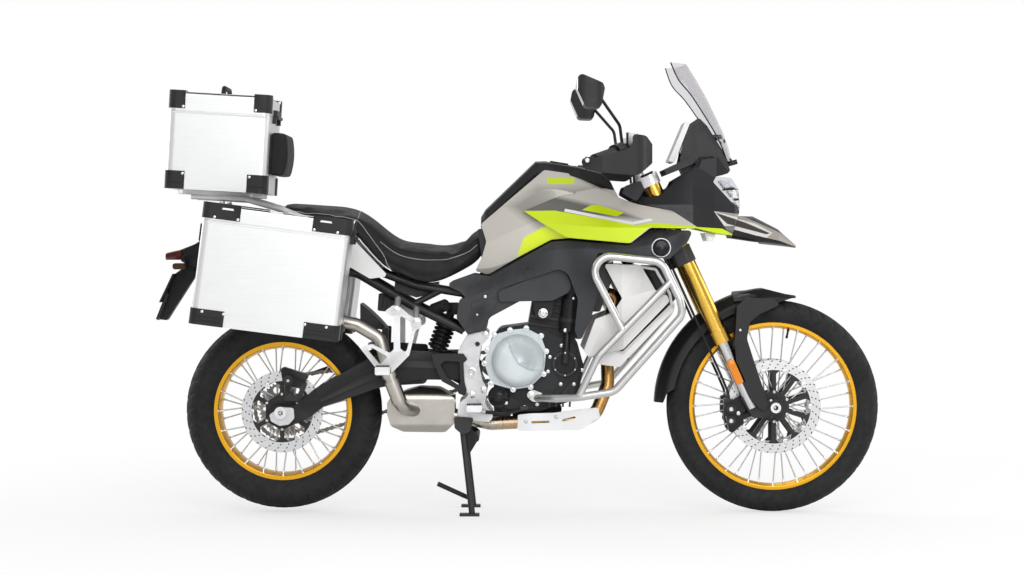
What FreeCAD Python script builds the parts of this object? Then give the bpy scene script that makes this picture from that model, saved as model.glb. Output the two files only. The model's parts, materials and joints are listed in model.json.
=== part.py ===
import FreeCAD, Part
import math
import os
from FreeCAD import Vector

# Adventure motorcycle standing on its centre stand, in millimetres.
# +X points forward, +Y to the rider's left, +Z up, and Z 0 is the floor.

# Wheels
WHEELBASE = 1600.0
OVERALL_LENGTH = 2360.0
FRONT_TYRE_R = 347.5
FRONT_TYRE_W = 92.0
FRONT_RIM_R = 281.0
FRONT_RIM_W = 64.0
REAR_TYRE_R = 321.0
REAR_TYRE_W = 150.0
REAR_RIM_R = 230.0
REAR_RIM_W = 118.0
REAR_LIFT = 12.0
BEAD_DEPTH = 14.0
RIM_DEPTH = 26.0
AXLE_R = 12.5
SPOKES_PER_SIDE = 20
SPOKE_R = 2.2
FRONT_DISC_R = 152.5
REAR_DISC_R = 132.5
DISC_BAND = 33.0
DISC_T = 5.0
FRONT_DISC_Y = 60.0
REAR_DISC_Y = 84.0
SPROCKET_R = 93.0

# Steering
RAKE = 24.5
AXLE_LEAD = 66.0
YOKE_OFFSET = 24.0
YOKE_BACK = 14.0
STEER_LOCK = 35.0
FORK_SPREAD = 105.0
FORK_OUTER_R = 27.0
FORK_INNER_R = 21.5
FORK_TUBE_LOW = 262.0
LOWER_YOKE_LOW = 545.0
LOWER_YOKE_T = 55.0
UPPER_YOKE_LOW = 822.0
UPPER_YOKE_T = 34.0
STEM_R = 15.0
HEAD_TUBE_R = 31.0
BAR_R = 11.0
GRIP_R = 16.5
HOSE_R = 4.0
PLATE_TOP = [(-163.0, 586.0), (-104.0, 600.0)]

# Swinging arm and drive
PIVOT_X = -151.0
PIVOT_Z = 464.0
ARM_INNER_Y = 112.0
ARM_OUTER_Y = 138.0
CHAIN_Y = 90.0
CHAIN_PITCH = 15.875
CHAIN_HALF = 7.0
PINION_R = 38.0

# Cases
TOP_CASE_LENGTH = 322.0
TOP_CASE_WIDTH = 400.0
TOP_CASE_BODY = 250.0
TOP_CASE_LID = 62.0
TOP_CASE_X = -972.0
TOP_CASE_Z = 1048.0
TOP_CASE_TILT = 3.3
PANNIER_LENGTH = 459.0
PANNIER_DEPTH = 236.0
PANNIER_BODY = 326.0
PANNIER_LID = 52.0
PANNIER_X = -794.0
PANNIER_Z = 603.0
PANNIER_TILT = 7.3
PANNIER_INNER_Y = 240.0
CASE_WALL = 2.0
CASE_CORNER_R = 22.0
GUARD_PROUD = 4.0
HINGE_OUT = 12.0
LID_GAP = 0.5

# Fuel cap
CAP_R = 37.0
CAP_GAP = 4.0
CAP_X = 131.0
CAP_Z = 1128.0
CAP_TILT = 9.1

# Stands
STAND_PIVOT_X = -182.0
STAND_PIVOT_Z = 293.0
STAND_LEG_Y = 133.0
STAND_PIN_R = 8.0
STAND_FOOT_X = -150.0
SIDE_STAND_X = -60.0
SIDE_STAND_Y = 186.0
SIDE_STAND_Z = 305.0
SIDE_STAND_LENGTH = 262.0
SIDE_STAND_SPLAY = 18.8

# Tubes and fits
CRASH_BAR_R = 12.5
CRASH_BAR_Y = 283.0
FRAME_TUBE_R = 14.0
RACK_TUBE_R = 8.0
RUNNING_FIT = 0.05
SEAT_GAP = 0.3
MOVING_GAP = 5.0

FRONT_X = OVERALL_LENGTH / 2 - FRONT_TYRE_R
REAR_X = FRONT_X - WHEELBASE
REAR_Z = REAR_TYRE_R + REAR_LIFT
SIN_RAKE = math.sin(math.radians(RAKE))
COS_RAKE = math.cos(math.radians(RAKE))
STEER_LEAD = AXLE_LEAD + YOKE_OFFSET
YOKE_HALF = FORK_SPREAD + FORK_OUTER_R + 6
STEER_X = FRONT_X - STEER_LEAD * COS_RAKE
STEER_Z = FRONT_TYRE_R - STEER_LEAD * SIN_RAKE
Y_AXIS = Vector(0, 1, 0)
Z_AXIS = Vector(0, 0, 1)


# Shape helpers

def rounded_edges(points, closed):
    """Edges through the points; a point given as (vector, radius) is a round corner."""
    corners = [p if isinstance(p, tuple) else (p, 0.0) for p in points]
    count = len(corners)
    ends = []
    for i, (point, radius) in enumerate(corners):
        inner = closed or 0 < i < count - 1
        if radius <= 0 or not inner:
            ends.append((point, None, point))
            continue
        back = corners[i - 1][0] - point
        ahead = corners[(i + 1) % count][0] - point
        half = back.getAngle(ahead) / 2
        reach = min(radius / math.tan(half), 0.48 * back.Length, 0.48 * ahead.Length)
        radius = reach * math.tan(half)
        back.normalize()
        ahead.normalize()
        middle = (back + ahead).normalize()
        crest = point + middle * (radius / math.sin(half) - radius)
        ends.append((point + back * reach, crest, point + ahead * reach))
    edges = []
    for i, (start, crest, end) in enumerate(ends):
        if crest is not None:
            edges.append(Part.Arc(start, crest, end).toShape())
        if i + 1 < count or closed:
            following = ends[(i + 1) % count][0]
            if end.distanceToPoint(following) > 1e-6:
                edges.append(Part.makeLine(end, following))
    return edges


def closed_wire(points):
    return Part.Wire(rounded_edges(points, True))


def flat_points(corners, place):
    """Corners (a, b) or (a, b, radius), set in space by the function place."""
    made = []
    for corner in corners:
        point = place(corner[0], corner[1])
        made.append((point, corner[2]) if len(corner) > 2 else point)
    return made


def slab_y(corners, y_low, y_high):
    """An outline in X and Z, from y_low to y_high."""
    wire = closed_wire(flat_points(corners, lambda a, b: Vector(a, y_low, b)))
    return Part.Face(wire).extrude(Vector(0, y_high - y_low, 0))


def slab_z(corners, z_low, z_high):
    """An outline in X and Y, from z_low to z_high."""
    wire = closed_wire(flat_points(corners, lambda a, b: Vector(a, b, z_low)))
    return Part.Face(wire).extrude(Vector(0, 0, z_high - z_low))


def slab_x(corners, x_low, x_high):
    """An outline in Y and Z, from x_low to x_high."""
    wire = closed_wire(flat_points(corners, lambda a, b: Vector(x_low, a, b)))
    return Part.Face(wire).extrude(Vector(x_high - x_low, 0, 0))


def cylinder_y(x, z, radius, y_low, y_high):
    return Part.makeCylinder(radius, y_high - y_low, Vector(x, y_low, z), Y_AXIS)


def ring_y(x, z, outer, inner, y_low, y_high):
    hole = cylinder_y(x, z, inner, y_low - 1, y_high + 1)
    return cylinder_y(x, z, outer, y_low, y_high).cut(hole)


def revolve_y(x, z, profile):
    """A profile of (y, r) corners turned about the Y line through x, z."""
    wire = closed_wire(flat_points(profile, lambda a, b: Vector(x, a, z + b)))
    return Part.Face(wire).revolve(Vector(x, 0, z), Y_AXIS, 360)


def pipe(points, radius, bend):
    """A round bar along straight runs joined by arcs of the given bend radius."""
    corners = [points[0]] + [(p, bend) for p in points[1:-1]] + [points[-1]]
    path = Part.Wire(rounded_edges(corners, False))
    circle = Part.Circle(points[0], points[1] - points[0], radius)
    profile = Part.Wire(circle.toShape())
    return path.makePipeShell([profile], True, False)


def bar_between(start, end, radius):
    return Part.makeCylinder(radius, start.distanceToPoint(end), start, end - start)


def turned_prism(plan, length, x, z, degrees):
    """A prism of a plan in X and Y, standing on x, z and leaning forward by the angle."""
    made = slab_z(plan, 0, length)
    made.rotate(Vector(), Y_AXIS, degrees)
    made.translate(Vector(x, 0, z))
    return made


def loft_x(stations, ruled=False):
    """A body through sections; each is x and the (y, z) corners of one half from the bottom up."""
    wires = []
    for x, half in stations:
        other = [(-y, z) for y, z in reversed(half) if y > 0]
        points = [Vector(x, y, z) for y, z in list(half) + other]
        wires.append(Part.makePolygon(points + [points[0]]))
    return Part.makeLoft(wires, True, ruled)


def side_loft_x(stations, ruled=False):
    """A one-sided body through sections; each is x and its closed (y, z) corners."""
    wires = []
    for x, corners in stations:
        points = [Vector(x, y, z) for y, z in corners]
        wires.append(Part.makePolygon(points + [points[0]]))
    return Part.makeLoft(wires, True, ruled)


def join(shapes):
    first = shapes[0]
    return first.multiFuse(shapes[1:]).removeSplitter() if len(shapes) > 1 else first


def mirrored(shape):
    return shape.mirror(Vector(), Y_AXIS)


def both_sides(shape):
    return Part.makeCompound([shape, mirrored(shape)])


def fork_place(shape):
    """Moves a shape from fork coordinates to the bike: x ahead of the steering axis, z along it."""
    moved = shape.copy()
    moved.rotate(Vector(), Y_AXIS, -RAKE)
    moved.translate(Vector(STEER_X, 0, STEER_Z))
    return moved


def fork_point(ahead, y, along):
    x = STEER_X + ahead * COS_RAKE - along * SIN_RAKE
    z = STEER_Z + ahead * SIN_RAKE + along * COS_RAKE
    return Vector(x, y, z)


def save(name, shape):
    solids = shape.Solids
    made = solids[0] if len(solids) == 1 else Part.makeCompound(solids)
    if not made.isValid():
        print("not valid:", name)
    box = made.optimalBoundingBox()
    size = f"x {box.XMin:.0f}..{box.XMax:.0f} y {box.YMin:.0f}..{box.YMax:.0f}"
    print(f"{name}: {len(solids)} solids, {size} z {box.ZMin:.0f}..{box.ZMax:.0f}")
    made.exportStep(f"parts/{name}.step")
    return made


# Wheels

def tyre(x, z, radius, width, rim_radius, rim_width):
    """Crown and side-wall arcs over a bead seated inside the rim's flanges."""
    half = width / 2
    bead = rim_radius - BEAD_DEPTH + SEAT_GAP
    flange = rim_width / 2 - 7
    waist = (radius + rim_radius) / 2
    tread = 0.62 * half
    shoulder = radius - 0.13 * width

    def at(y, r):
        return Vector(x, y, z + r)

    edges = [Part.Arc(at(-tread, shoulder), at(0, radius), at(tread, shoulder)).toShape()]
    edges.append(Part.Arc(at(tread, shoulder), at(half, waist), at(flange + 1, rim_radius + 1)).toShape())
    edges.append(Part.makeLine(at(flange + 1, rim_radius + 1), at(flange, bead)))
    edges.append(Part.makeLine(at(flange, bead), at(-flange, bead)))
    edges.append(Part.makeLine(at(-flange, bead), at(-flange - 1, rim_radius + 1)))
    edges.append(Part.Arc(at(-flange - 1, rim_radius + 1), at(-half, waist), at(-tread, shoulder)).toShape())
    return Part.Face(Part.Wire(edges)).revolve(Vector(x, 0, z), Y_AXIS, 360)


def rim(x, z, radius, width):
    half = width / 2
    bead = radius - BEAD_DEPTH
    inner = radius - RIM_DEPTH
    right = [
        (half, bead - 5, 3),
        (half, radius, 2),
        (half - 4, radius, 2),
        (half - 6, bead),
        (0.45 * half, bead, 6),
        (0.35 * half, bead - 6, 6),
    ]
    profile = [(-c[0], *c[1:]) for c in right] + [c for c in reversed(right)]
    return revolve_y(x, z, profile + [(0.42 * half, inner, 8), (-0.42 * half, inner, 8)])


def spokes(x, z, flange_r, flange_y, rim_radius, rim_width):
    """Crossed spokes from the hub flanges to the rim's outer edges."""
    made = []
    step = 360.0 / SPOKES_PER_SIDE
    tip_r = rim_radius - BEAD_DEPTH - 5 - SEAT_GAP
    tip_y = rim_width / 2 - 5
    for side in (-1, 1):
        for i in range(SPOKES_PER_SIDE):
            lean = 26 if i % 2 else -26
            at_rim = math.radians(i * step + (step / 2 if side > 0 else 0))
            at_hub = at_rim + math.radians(lean)
            y_hub = side * (flange_y - (3.2 if i % 2 else -3.2))
            start = Vector(
                x + (flange_r - 3) * math.cos(at_hub), y_hub, z + (flange_r - 3) * math.sin(at_hub)
            )
            end = Vector(x + tip_r * math.cos(at_rim), side * tip_y, z + tip_r * math.sin(at_rim))
            made.append(bar_between(start, end, SPOKE_R))
    return made


def hub(x, z, flange_r, flange_y, width, seats):
    """Barrel, spoke flanges and disc seats, bored for the axle."""
    half = width / 2
    barrel_r = 27.0
    solids = [cylinder_y(x, z, barrel_r, -half, half)]
    for side in (-1, 1):
        low = side * flange_y - 6
        solids.append(cylinder_y(x, z, flange_r, low, low + 12))
    for seat_r, y_low, y_high in seats:
        solids.append(cylinder_y(x, z, seat_r, y_low, y_high))
    bore = cylinder_y(x, z, AXLE_R + RUNNING_FIT, -half - 20, half + 20)
    return solids, bore


def brake_disc(x, z, radius, y_low, seat_r, arms):
    """A braking band on an open carrier with arms."""
    band_r = radius - DISC_BAND
    arm_half = 7.0
    lip = 12.0
    windows = []
    for i in range(arms):
        middle = 2 * math.pi * i / arms
        corners = []
        for reach, share in (
            (seat_r + lip, -1.0),
            (band_r - lip, -1.0),
            (band_r, -0.6),
            (band_r, 0.6),
            (band_r - lip, 1.0),
            (seat_r + lip, 1.0),
        ):
            angle = middle + share * (math.pi / arms - math.asin(arm_half / reach))
            corners.append((x + reach * math.cos(angle), z + reach * math.sin(angle), 2))
        windows.append(slab_y(corners, y_low - 1, y_low + DISC_T + 1))
    blank = ring_y(x, z, radius, seat_r + SEAT_GAP, y_low, y_low + DISC_T)
    return blank.cut(Part.makeCompound(windows))


def front_wheel():
    x = FRONT_X
    z = FRONT_TYRE_R
    rim_solid = rim(x, z, FRONT_RIM_R, FRONT_RIM_W)
    flange_r = 42.0
    flange_y = 34.0
    seat_r = 38.0
    disc_out = FRONT_DISC_Y + DISC_T
    seats = [(seat_r, -disc_out, -flange_y), (seat_r, flange_y, disc_out)]
    solids, bore = hub(x, z, flange_r, flange_y, 2 * disc_out, seats)
    solids += spokes(x, z, flange_r, flange_y, FRONT_RIM_R, FRONT_RIM_W)
    save("front_tyre", tyre(x, z, FRONT_TYRE_R, FRONT_TYRE_W, FRONT_RIM_R, FRONT_RIM_W))
    save("front_rim", rim_solid)
    save("front_hub", join(solids).cut(bore).cut(rim_solid))
    disc = brake_disc(x, z, FRONT_DISC_R, FRONT_DISC_Y, seat_r, 10)
    save("front_brake_discs", both_sides(disc))


def rear_wheel():
    """Rear wheel with its disc; the sprocket sits on the hub's left seat."""
    x = REAR_X
    z = REAR_Z
    rim_solid = rim(x, z, REAR_RIM_R, REAR_RIM_W)
    flange_r = 52.0
    flange_y = 46.0
    seat_r = 46.0
    disc_out = REAR_DISC_Y + DISC_T
    seats = [(seat_r, -disc_out, -flange_y), (seat_r, flange_y, disc_out)]
    solids, bore = hub(x, z, flange_r, flange_y, 2 * disc_out, seats)
    solids += spokes(x, z, flange_r, flange_y, REAR_RIM_R, REAR_RIM_W)
    save("rear_tyre", tyre(x, z, REAR_TYRE_R, REAR_TYRE_W, REAR_RIM_R, REAR_RIM_W))
    save("rear_rim", rim_solid)
    wheel_hub = join(solids).cut(bore).cut(rim_solid)
    save("rear_hub", Part.makeCompound([wheel_hub, sprocket(x, z, SPROCKET_R, CHAIN_Y - 3, 45, seat_r)]))
    save("rear_brake_disc", brake_disc(x, z, REAR_DISC_R, -disc_out, seat_r, 6))


def sprocket(x, z, radius, y_low, teeth, seat_r):
    thickness = 6.0
    corners = []
    for i in range(teeth):
        middle = 2 * math.pi * i / teeth
        for turn, reach in ((-0.34, -6.0), (-0.12, 0.0), (0.12, 0.0), (0.34, -6.0)):
            angle = middle + turn * 2 * math.pi / teeth
            corners.append((x + (radius + reach) * math.cos(angle), z + (radius + reach) * math.sin(angle)))
    blank = slab_y(corners, y_low, y_low + thickness)
    holes = [cylinder_y(x, z, seat_r + SEAT_GAP, y_low - 1, y_low + thickness + 1)]
    for i in range(6):
        angle = math.radians(60 * i)
        centre_x = x + 0.74 * radius * math.cos(angle)
        centre_z = z + 0.74 * radius * math.sin(angle)
        holes.append(cylinder_y(centre_x, centre_z, 11, y_low - 1, y_low + thickness + 1))
    return blank.cut(Part.makeCompound(holes))


# Fork and steering

def fork():
    tubes = []
    legs = []
    top = UPPER_YOKE_LOW + UPPER_YOKE_T
    for side in (-1, 1):
        y = side * FORK_SPREAD
        tube = Part.makeCylinder(FORK_OUTER_R, top - FORK_TUBE_LOW, Vector(YOKE_OFFSET, y, FORK_TUBE_LOW), Z_AXIS)
        collar = Part.makeCylinder(FORK_OUTER_R + 2.5, 46, Vector(YOKE_OFFSET, y, FORK_TUBE_LOW), Z_AXIS)
        cap = Part.makeCylinder(FORK_OUTER_R - 6, 8, Vector(YOKE_OFFSET, y, top), Z_AXIS)
        tubes.append(fork_place(join([tube, collar, cap])))
        inner = Part.makeCylinder(FORK_INNER_R, FORK_TUBE_LOW - 30, Vector(YOKE_OFFSET, y, 30), Z_AXIS)
        ahead = STEER_LEAD
        lug = slab_y(
            [
                (YOKE_OFFSET - 24, 78, 8),
                (YOKE_OFFSET + 24, 78, 8),
                (ahead - 22, 34, 12),
                (ahead + 14, 24, 16),
                (ahead + 26, 0, 16),
                (ahead + 14, -24, 16),
                (ahead - 26, -26, 16),
                (YOKE_OFFSET - 14, 0, 12),
            ],
            y - 15,
            y + 15,
        )
        legs.append(fork_place(join([inner, lug])))
    x = FRONT_X
    z = FRONT_TYRE_R
    reach = FORK_SPREAD + 22
    axle = cylinder_y(x, z, AXLE_R, -reach, reach)
    hub_half = FRONT_DISC_Y + DISC_T
    for side in (-1, 1):
        low = hub_half + 2 if side > 0 else -FORK_SPREAD
        high = FORK_SPREAD if side > 0 else -hub_half - 2
        legs.append(cylinder_y(x, z, 18, low, high))
        end = side * reach
        legs.append(cylinder_y(x, z, 17, min(end, end - side * 8), max(end, end - side * 8)))
    recesses = [
        cylinder_y(x, z, 8, -reach - 1, -reach + 30),
        cylinder_y(x, z, 8, reach - 30, reach + 1),
    ]
    save("fork_tubes", Part.makeCompound(tubes))
    return save("fork_legs", join([axle] + legs).cut(Part.makeCompound(recesses)))


def yoke(low, thickness, waist):
    wide = YOKE_HALF
    plan = slab_z(
        [
            (-30, -waist, 20),
            (-YOKE_BACK, -wide + 8, 16),
            (YOKE_OFFSET + 26, -wide, 26),
            (YOKE_OFFSET + 34, -70, 20),
            (YOKE_OFFSET + 22, 0, 60),
            (YOKE_OFFSET + 34, 70, 20),
            (YOKE_OFFSET + 26, wide, 26),
            (-YOKE_BACK, wide - 8, 16),
            (-30, waist, 20),
        ],
        low,
        low + thickness,
    )
    bores = []
    for side in (-1, 1):
        foot = Vector(YOKE_OFFSET, side * FORK_SPREAD, low - 1)
        bores.append(Part.makeCylinder(FORK_OUTER_R + SEAT_GAP, thickness + 2, foot, Z_AXIS))
    return plan.cut(Part.makeCompound(bores))


def triple_clamps():
    stem_low = LOWER_YOKE_LOW
    stem_high = UPPER_YOKE_LOW + UPPER_YOKE_T
    stem = Part.makeCylinder(STEM_R, stem_high - stem_low, Vector(0, 0, stem_low), Z_AXIS)
    nut = Part.makeCylinder(19, 10, Vector(0, 0, stem_high), Z_AXIS)
    solids = [
        yoke(LOWER_YOKE_LOW, LOWER_YOKE_T, 45),
        yoke(UPPER_YOKE_LOW, UPPER_YOKE_T, 45),
        stem,
        nut,
    ]
    made = fork_place(join(solids))
    centre = handlebar_points()[0]
    risers = []
    for side in (-1, 1):
        y = side * 48
        foot = fork_point(4, y, stem_high - 4)
        riser = bar_between(foot, Vector(centre.x, y, centre.z - BAR_R), 14)
        ring = ring_y(centre.x, centre.z, BAR_R + 11, BAR_R + SEAT_GAP, y - 15, y + 15)
        risers.append(riser.cut(cylinder_y(centre.x, centre.z, BAR_R + SEAT_GAP, y - 20, y + 20)))
        risers.append(ring)
    save("triple_clamps", join([made] + risers))


def handlebar_points():
    """Centre, clamp edge, bend and end of the left half of the bar."""
    return [
        Vector(380, 0, 1152),
        Vector(380, 80, 1152),
        Vector(348, 205, 1186),
        Vector(214, 428, 1134),
    ]


def handlebar():
    points = handlebar_points()
    left = pipe(points, BAR_R, 60)
    along = (points[3] - points[2]).normalize()
    grip_low = points[2] + along * 95
    grip_high = points[2] + along * 222
    grip = bar_between(grip_low, grip_high, GRIP_R)
    switch = bar_between(points[2] + along * 42, points[2] + along * 88, 24)
    perch = bar_between(points[2] + along * 12, points[2] + along * 34, 17)
    lever = pipe(
        [
            points[2] + along * 22 + Vector(10, 0, 0),
            points[2] + along * 34 + Vector(48, 0, 2),
            points[2] + along * 90 + Vector(72, 0, 4),
            points[2] + along * 196 + Vector(66, 0, 4),
        ],
        5,
        22,
    )
    pot_foot = points[2] + along * 24 + Vector(26, 0, 8)
    pot = Part.makeCylinder(19, 44, pot_foot, Z_AXIS)
    half = join([left, grip, switch, perch, lever, pot])
    return save("handlebar", join([half, mirrored(half)]))


def guard_plan(offset):
    """Plan of the left hand guard's outer or inner line."""
    return [
        (206, 436 - offset, 12),
        (262, 452 - offset, 40),
        (392 - offset, 426 - offset, 46),
        (424 - offset, 330, 60),
        (398 - offset, 238, 12),
    ]


def hand_guards(bar):
    outer = guard_plan(0)
    inner = guard_plan(6)
    plan = slab_z(outer + [c for c in reversed(inner)], 1060, 1250)
    side = slab_y(
        [
            (190, 1128, 8),
            (206, 1111, 8),
            (254, 1100, 20),
            (372, 1091, 30),
            (430, 1140, 30),
            (432, 1180, 30),
            (398, 1216, 20),
            (356, 1221, 10),
            (352, 1178, 30),
            (240, 1148, 30),
            (204, 1149, 8),
        ],
        200,
        470,
    )
    shell = plan.common(side)
    points = handlebar_points()
    along = (points[3] - points[2]).normalize()
    end = points[3] + along * SEAT_GAP
    knob = bar_between(end, end + along * 12, 14)
    inner_stay = pipe(
        [
            points[2] + along * 4 + Vector(BAR_R + SEAT_GAP, 0, 0),
            points[2] + along * 4 + Vector(40, 8, -14),
            Vector(402, 262, 1150),
        ],
        6,
        12,
    )
    half = join([shell, inner_stay.cut(shell)]).cut(bar)
    save("hand_guards", both_sides(Part.makeCompound([half, knob])))


def mirrors(bar):
    points = handlebar_points()
    along = (points[3] - points[2]).normalize()
    foot = points[2] + along * 23 + Vector(-6, 0, BAR_R + 3)
    stem = pipe([foot, foot + Vector(-8, 12, 60), Vector(262, 330, 1332)], 5, 30)
    head = slab_y(
        [
            (186, 1410, 14),
            (178, 1366, 12),
            (206, 1304, 16),
            (256, 1302, 14),
            (268, 1362, 16),
            (262, 1378, 10),
        ],
        312,
        468,
    )
    cap = slab_z(
        [(160, 330, 20), (185, 468, 30), (262, 462, 40), (282, 400, 50), (262, 312, 30)],
        1290,
        1420,
    )
    save("mirrors", both_sides(join([head.common(cap), stem]).cut(bar)))


def front_fender(legs):
    x = FRONT_X
    z = FRONT_TYRE_R
    crown = 388.0
    wall = 4.0
    half = 66.0
    skirt = 330.0
    section = [
        (-half, skirt),
        (-half, crown - 32, 18),
        (-30, crown, 30),
        (30, crown, 30),
        (half, crown - 32, 18),
        (half, skirt),
        (half - wall, skirt),
        (half - wall, crown - 32 - wall / 2, 16),
        (28, crown - wall, 28),
        (-28, crown - wall, 28),
        (-half + wall, crown - 32 - wall / 2, 16),
        (-half + wall, skirt),
    ]
    wire = closed_wire(flat_points(section, lambda a, b: Vector(x + b, a, z)))
    blade = Part.Face(wire).revolve(Vector(x, 0, z), Y_AXIS, -108)
    blade.rotate(Vector(x, 0, z), Y_AXIS, -70)
    side = slab_y(
        [
            (441, 352),
            (470, 356, 14),
            (484, 392, 20),
            (560, 436, 20),
            (640, 440, 30),
            (672, 470, 20),
            (640, 560, 40),
            (700, 640, 30),
            (905, 706),
            (752, 745),
            (560, 740),
            (430, 600),
            (420, 440),
        ],
        -90,
        90,
    )
    blade = blade.common(side)
    peak = loft_x(
        [
            (700, [(0, 708), (58, 700), (70, 690), (66, 702), (0, 722)]),
            (752, [(0, 716), (58, 706), (66, 694), (62, 712), (0, 727)]),
            (830, [(0, 714), (40, 706), (46, 694), (44, 706), (0, 721)]),
            (908, [(0, 706), (14, 704), (17, 701), (15, 705), (0, 709)]),
        ],
        True,
    )
    guard = slab_y(
        [
            (742, 704, 8),
            (706, 676, 10),
            (703, 630, 20),
            (698, 560, 20),
            (706, 470, 30),
            (744, 384, 10),
            (778, 346, 10),
            (800, 336, 8),
            (806, 362, 20),
            (790, 414, 30),
            (762, 496, 40),
            (738, 572, 30),
            (748, 626, 20),
            (780, 652, 14),
            (846, 682, 8),
            (826, 698, 10),
        ],
        72,
        134,
    )
    room = fork_place(Part.makeCylinder(FORK_OUTER_R + 4, 420, Vector(YOKE_OFFSET, FORK_SPREAD, 120), Z_AXIS))
    lower = fork_place(Part.makeCylinder(FORK_INNER_R + 3, 200, Vector(YOKE_OFFSET, FORK_SPREAD, 40), Z_AXIS))
    lug_room = slab_y([(700, 300), (700, 400), (870, 400), (870, 300)], FORK_SPREAD - 19, FORK_SPREAD + 19)
    guard = guard.cut(room).cut(lower).cut(lug_room).cut(legs)
    guard = max(guard.Solids, key=lambda s: s.Volume)
    bridge = slab_y([(712, 640, 6), (712, 676, 6), (742, 690, 6), (742, 650, 6)], 60, 76)
    half = join([guard, bridge])
    save("front_fender", join([blade, peak, half, mirrored(half)]))


def caliper_block(x, z, r_low, r_high, angle_low, angle_high, y_low, y_high, disc_low, disc_r):
    """A brake caliper: a sector astride the disc, with the disc's slot cut."""
    middle = math.radians((angle_low + angle_high) / 2)
    spread = math.radians((angle_high - angle_low) / 2)
    corners = []
    for reach, turn in ((r_low, -0.8), (r_low, 0.8), (r_high, 1.0), (r_high, -1.0)):
        angle = middle + turn * spread
        corners.append((x + reach * math.cos(angle), z + reach * math.sin(angle), 10))
    block = slab_y(corners, y_low, y_high)
    slot = ring_y(x, z, disc_r + 5, 20, disc_low - MOVING_GAP / 2, disc_low + DISC_T + MOVING_GAP / 2)
    return block.cut(slot)


def front_calipers(legs, bar):
    """Calipers on the fork legs, each with the hose that feeds it."""
    x = FRONT_X
    z = FRONT_TYRE_R
    inner_y = FRONT_DISC_Y + DISC_T + MOVING_GAP
    outer_y = FORK_SPREAD - 15 - SEAT_GAP
    block = caliper_block(x, z, 112, 172, 168, 212, 44, 88, FRONT_DISC_Y, FRONT_DISC_R)
    arm = slab_y(
        [
            (x - 165, z + 8, 6), (x - 110, z + 40, 6), (x - 92, z + 22, 6), (x - 100, z - 18, 6),
            (x - 165, z - 30, 6),
        ],
        inner_y,
        outer_y,
    )
    boss = cylinder_y(x - 96, z + 8, 10, inner_y, outer_y)
    pistons = [cylinder_y(x - 142, z + drop, 15, 80, 94) for drop in (-44, -6)]
    body = join([block, arm, boss] + pistons).cut(legs)
    hose = brake_hoses().cut(bar).cut(body)
    hose = max(hose.Solids, key=lambda s: s.Volume)
    save("front_calipers", both_sides(Part.makeCompound([body, hose])))


def brake_hoses():
    """Left hose from the caliper up behind the fork tube to the lever's clamp on the bar."""
    behind = YOKE_OFFSET - FORK_OUTER_R - 23
    return pipe(
        [
            Vector(FRONT_X - 146, 80, FRONT_TYRE_R + 14),
            Vector(FRONT_X - 152, 84, FRONT_TYRE_R + 50),
            fork_point(behind, 92, 170),
            fork_point(behind, FORK_SPREAD, 330),
            fork_point(behind, FORK_SPREAD, 850),
            Vector(370, 130, 1130),
            Vector(352, 190, 1160),
            Vector(344, 212, 1178),
        ],
        HOSE_R,
        26,
    )


# Frame, engine and running gear

def frame(tank):
    low = LOWER_YOKE_LOW + LOWER_YOKE_T + MOVING_GAP
    high = UPPER_YOKE_LOW - MOVING_GAP
    head = Part.makeCylinder(HEAD_TUBE_R, high - low, Vector(0, 0, low), Z_AXIS)
    stay = slab_y([(10, low + 30), (175, low + 90), (175, high - 30), (10, high - 20)], -26, 26)
    gusset = slab_y([(-10, low + 4), (-10, high - 4), (-120, high - 30), (-150, low + 10)], -46, 46)
    neck = fork_place(join([head, stay, gusset]))
    bore = Part.makeCylinder(STEM_R + RUNNING_FIT, high - low + 80, Vector(0, 0, low - 40), Z_AXIS)
    cross = slab_y([(300, 838, 8), (300, 898, 8), (356, 922, 8), (378, 862, 8)], -172, 172)
    spar = slab_y(
        [
            (372, 860, 10),
            (354, 920, 10),
            (300, 898, 60),
            (120, 800, 80),
            (-70, 738, 40),
            (-190, 700, 12),
            (-200, 640, 20),
            (PLATE_TOP[0][0], PLATE_TOP[0][1] + SEAT_GAP),
            (PLATE_TOP[1][0], PLATE_TOP[1][1] + SEAT_GAP),
            (-96, 640, 30),
            (60, 724, 60),
            (230, 800, 60),
        ],
        148,
        172,
    )
    down = slab_y(
        [(250, 812, 10), (306, 842, 10), (300, 760, 20), (262, 660, 10), (222, 660, 10), (256, 740, 20)],
        150,
        170,
    )
    lug = slab_y([
        (40, 740), (122, 770), (112, 680, 12), (104, 636, 24), (56, 636, 24), (46, 690, 12),
    ], 148, 160)
    bolt = cylinder_y(79, 655, 19, 142 + SEAT_GAP, 166)
    bridge = slab_y([(-196, 640, 10), (-196, 690, 10), (-140, 690, 10), (-140, 640, 10)], -160, 160)
    mounts = [Part.makeCylinder(13, 90, Vector(330, y, 880), Z_AXIS) for y in (-70, 70)]
    mounts += [bar_between(Vector(-150, y, 660), Vector(-110, y, 800), 10) for y in (-60, 60)]
    solids = [neck, cross, bridge]
    for shape in (spar, down, lug, bolt):
        solids.append(shape)
        solids.append(mirrored(shape))
    body = join(solids + mounts).cut(fork_place(bore)).cut(tank)
    return save("frame", max(body.Solids, key=lambda s: s.Volume))


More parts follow.
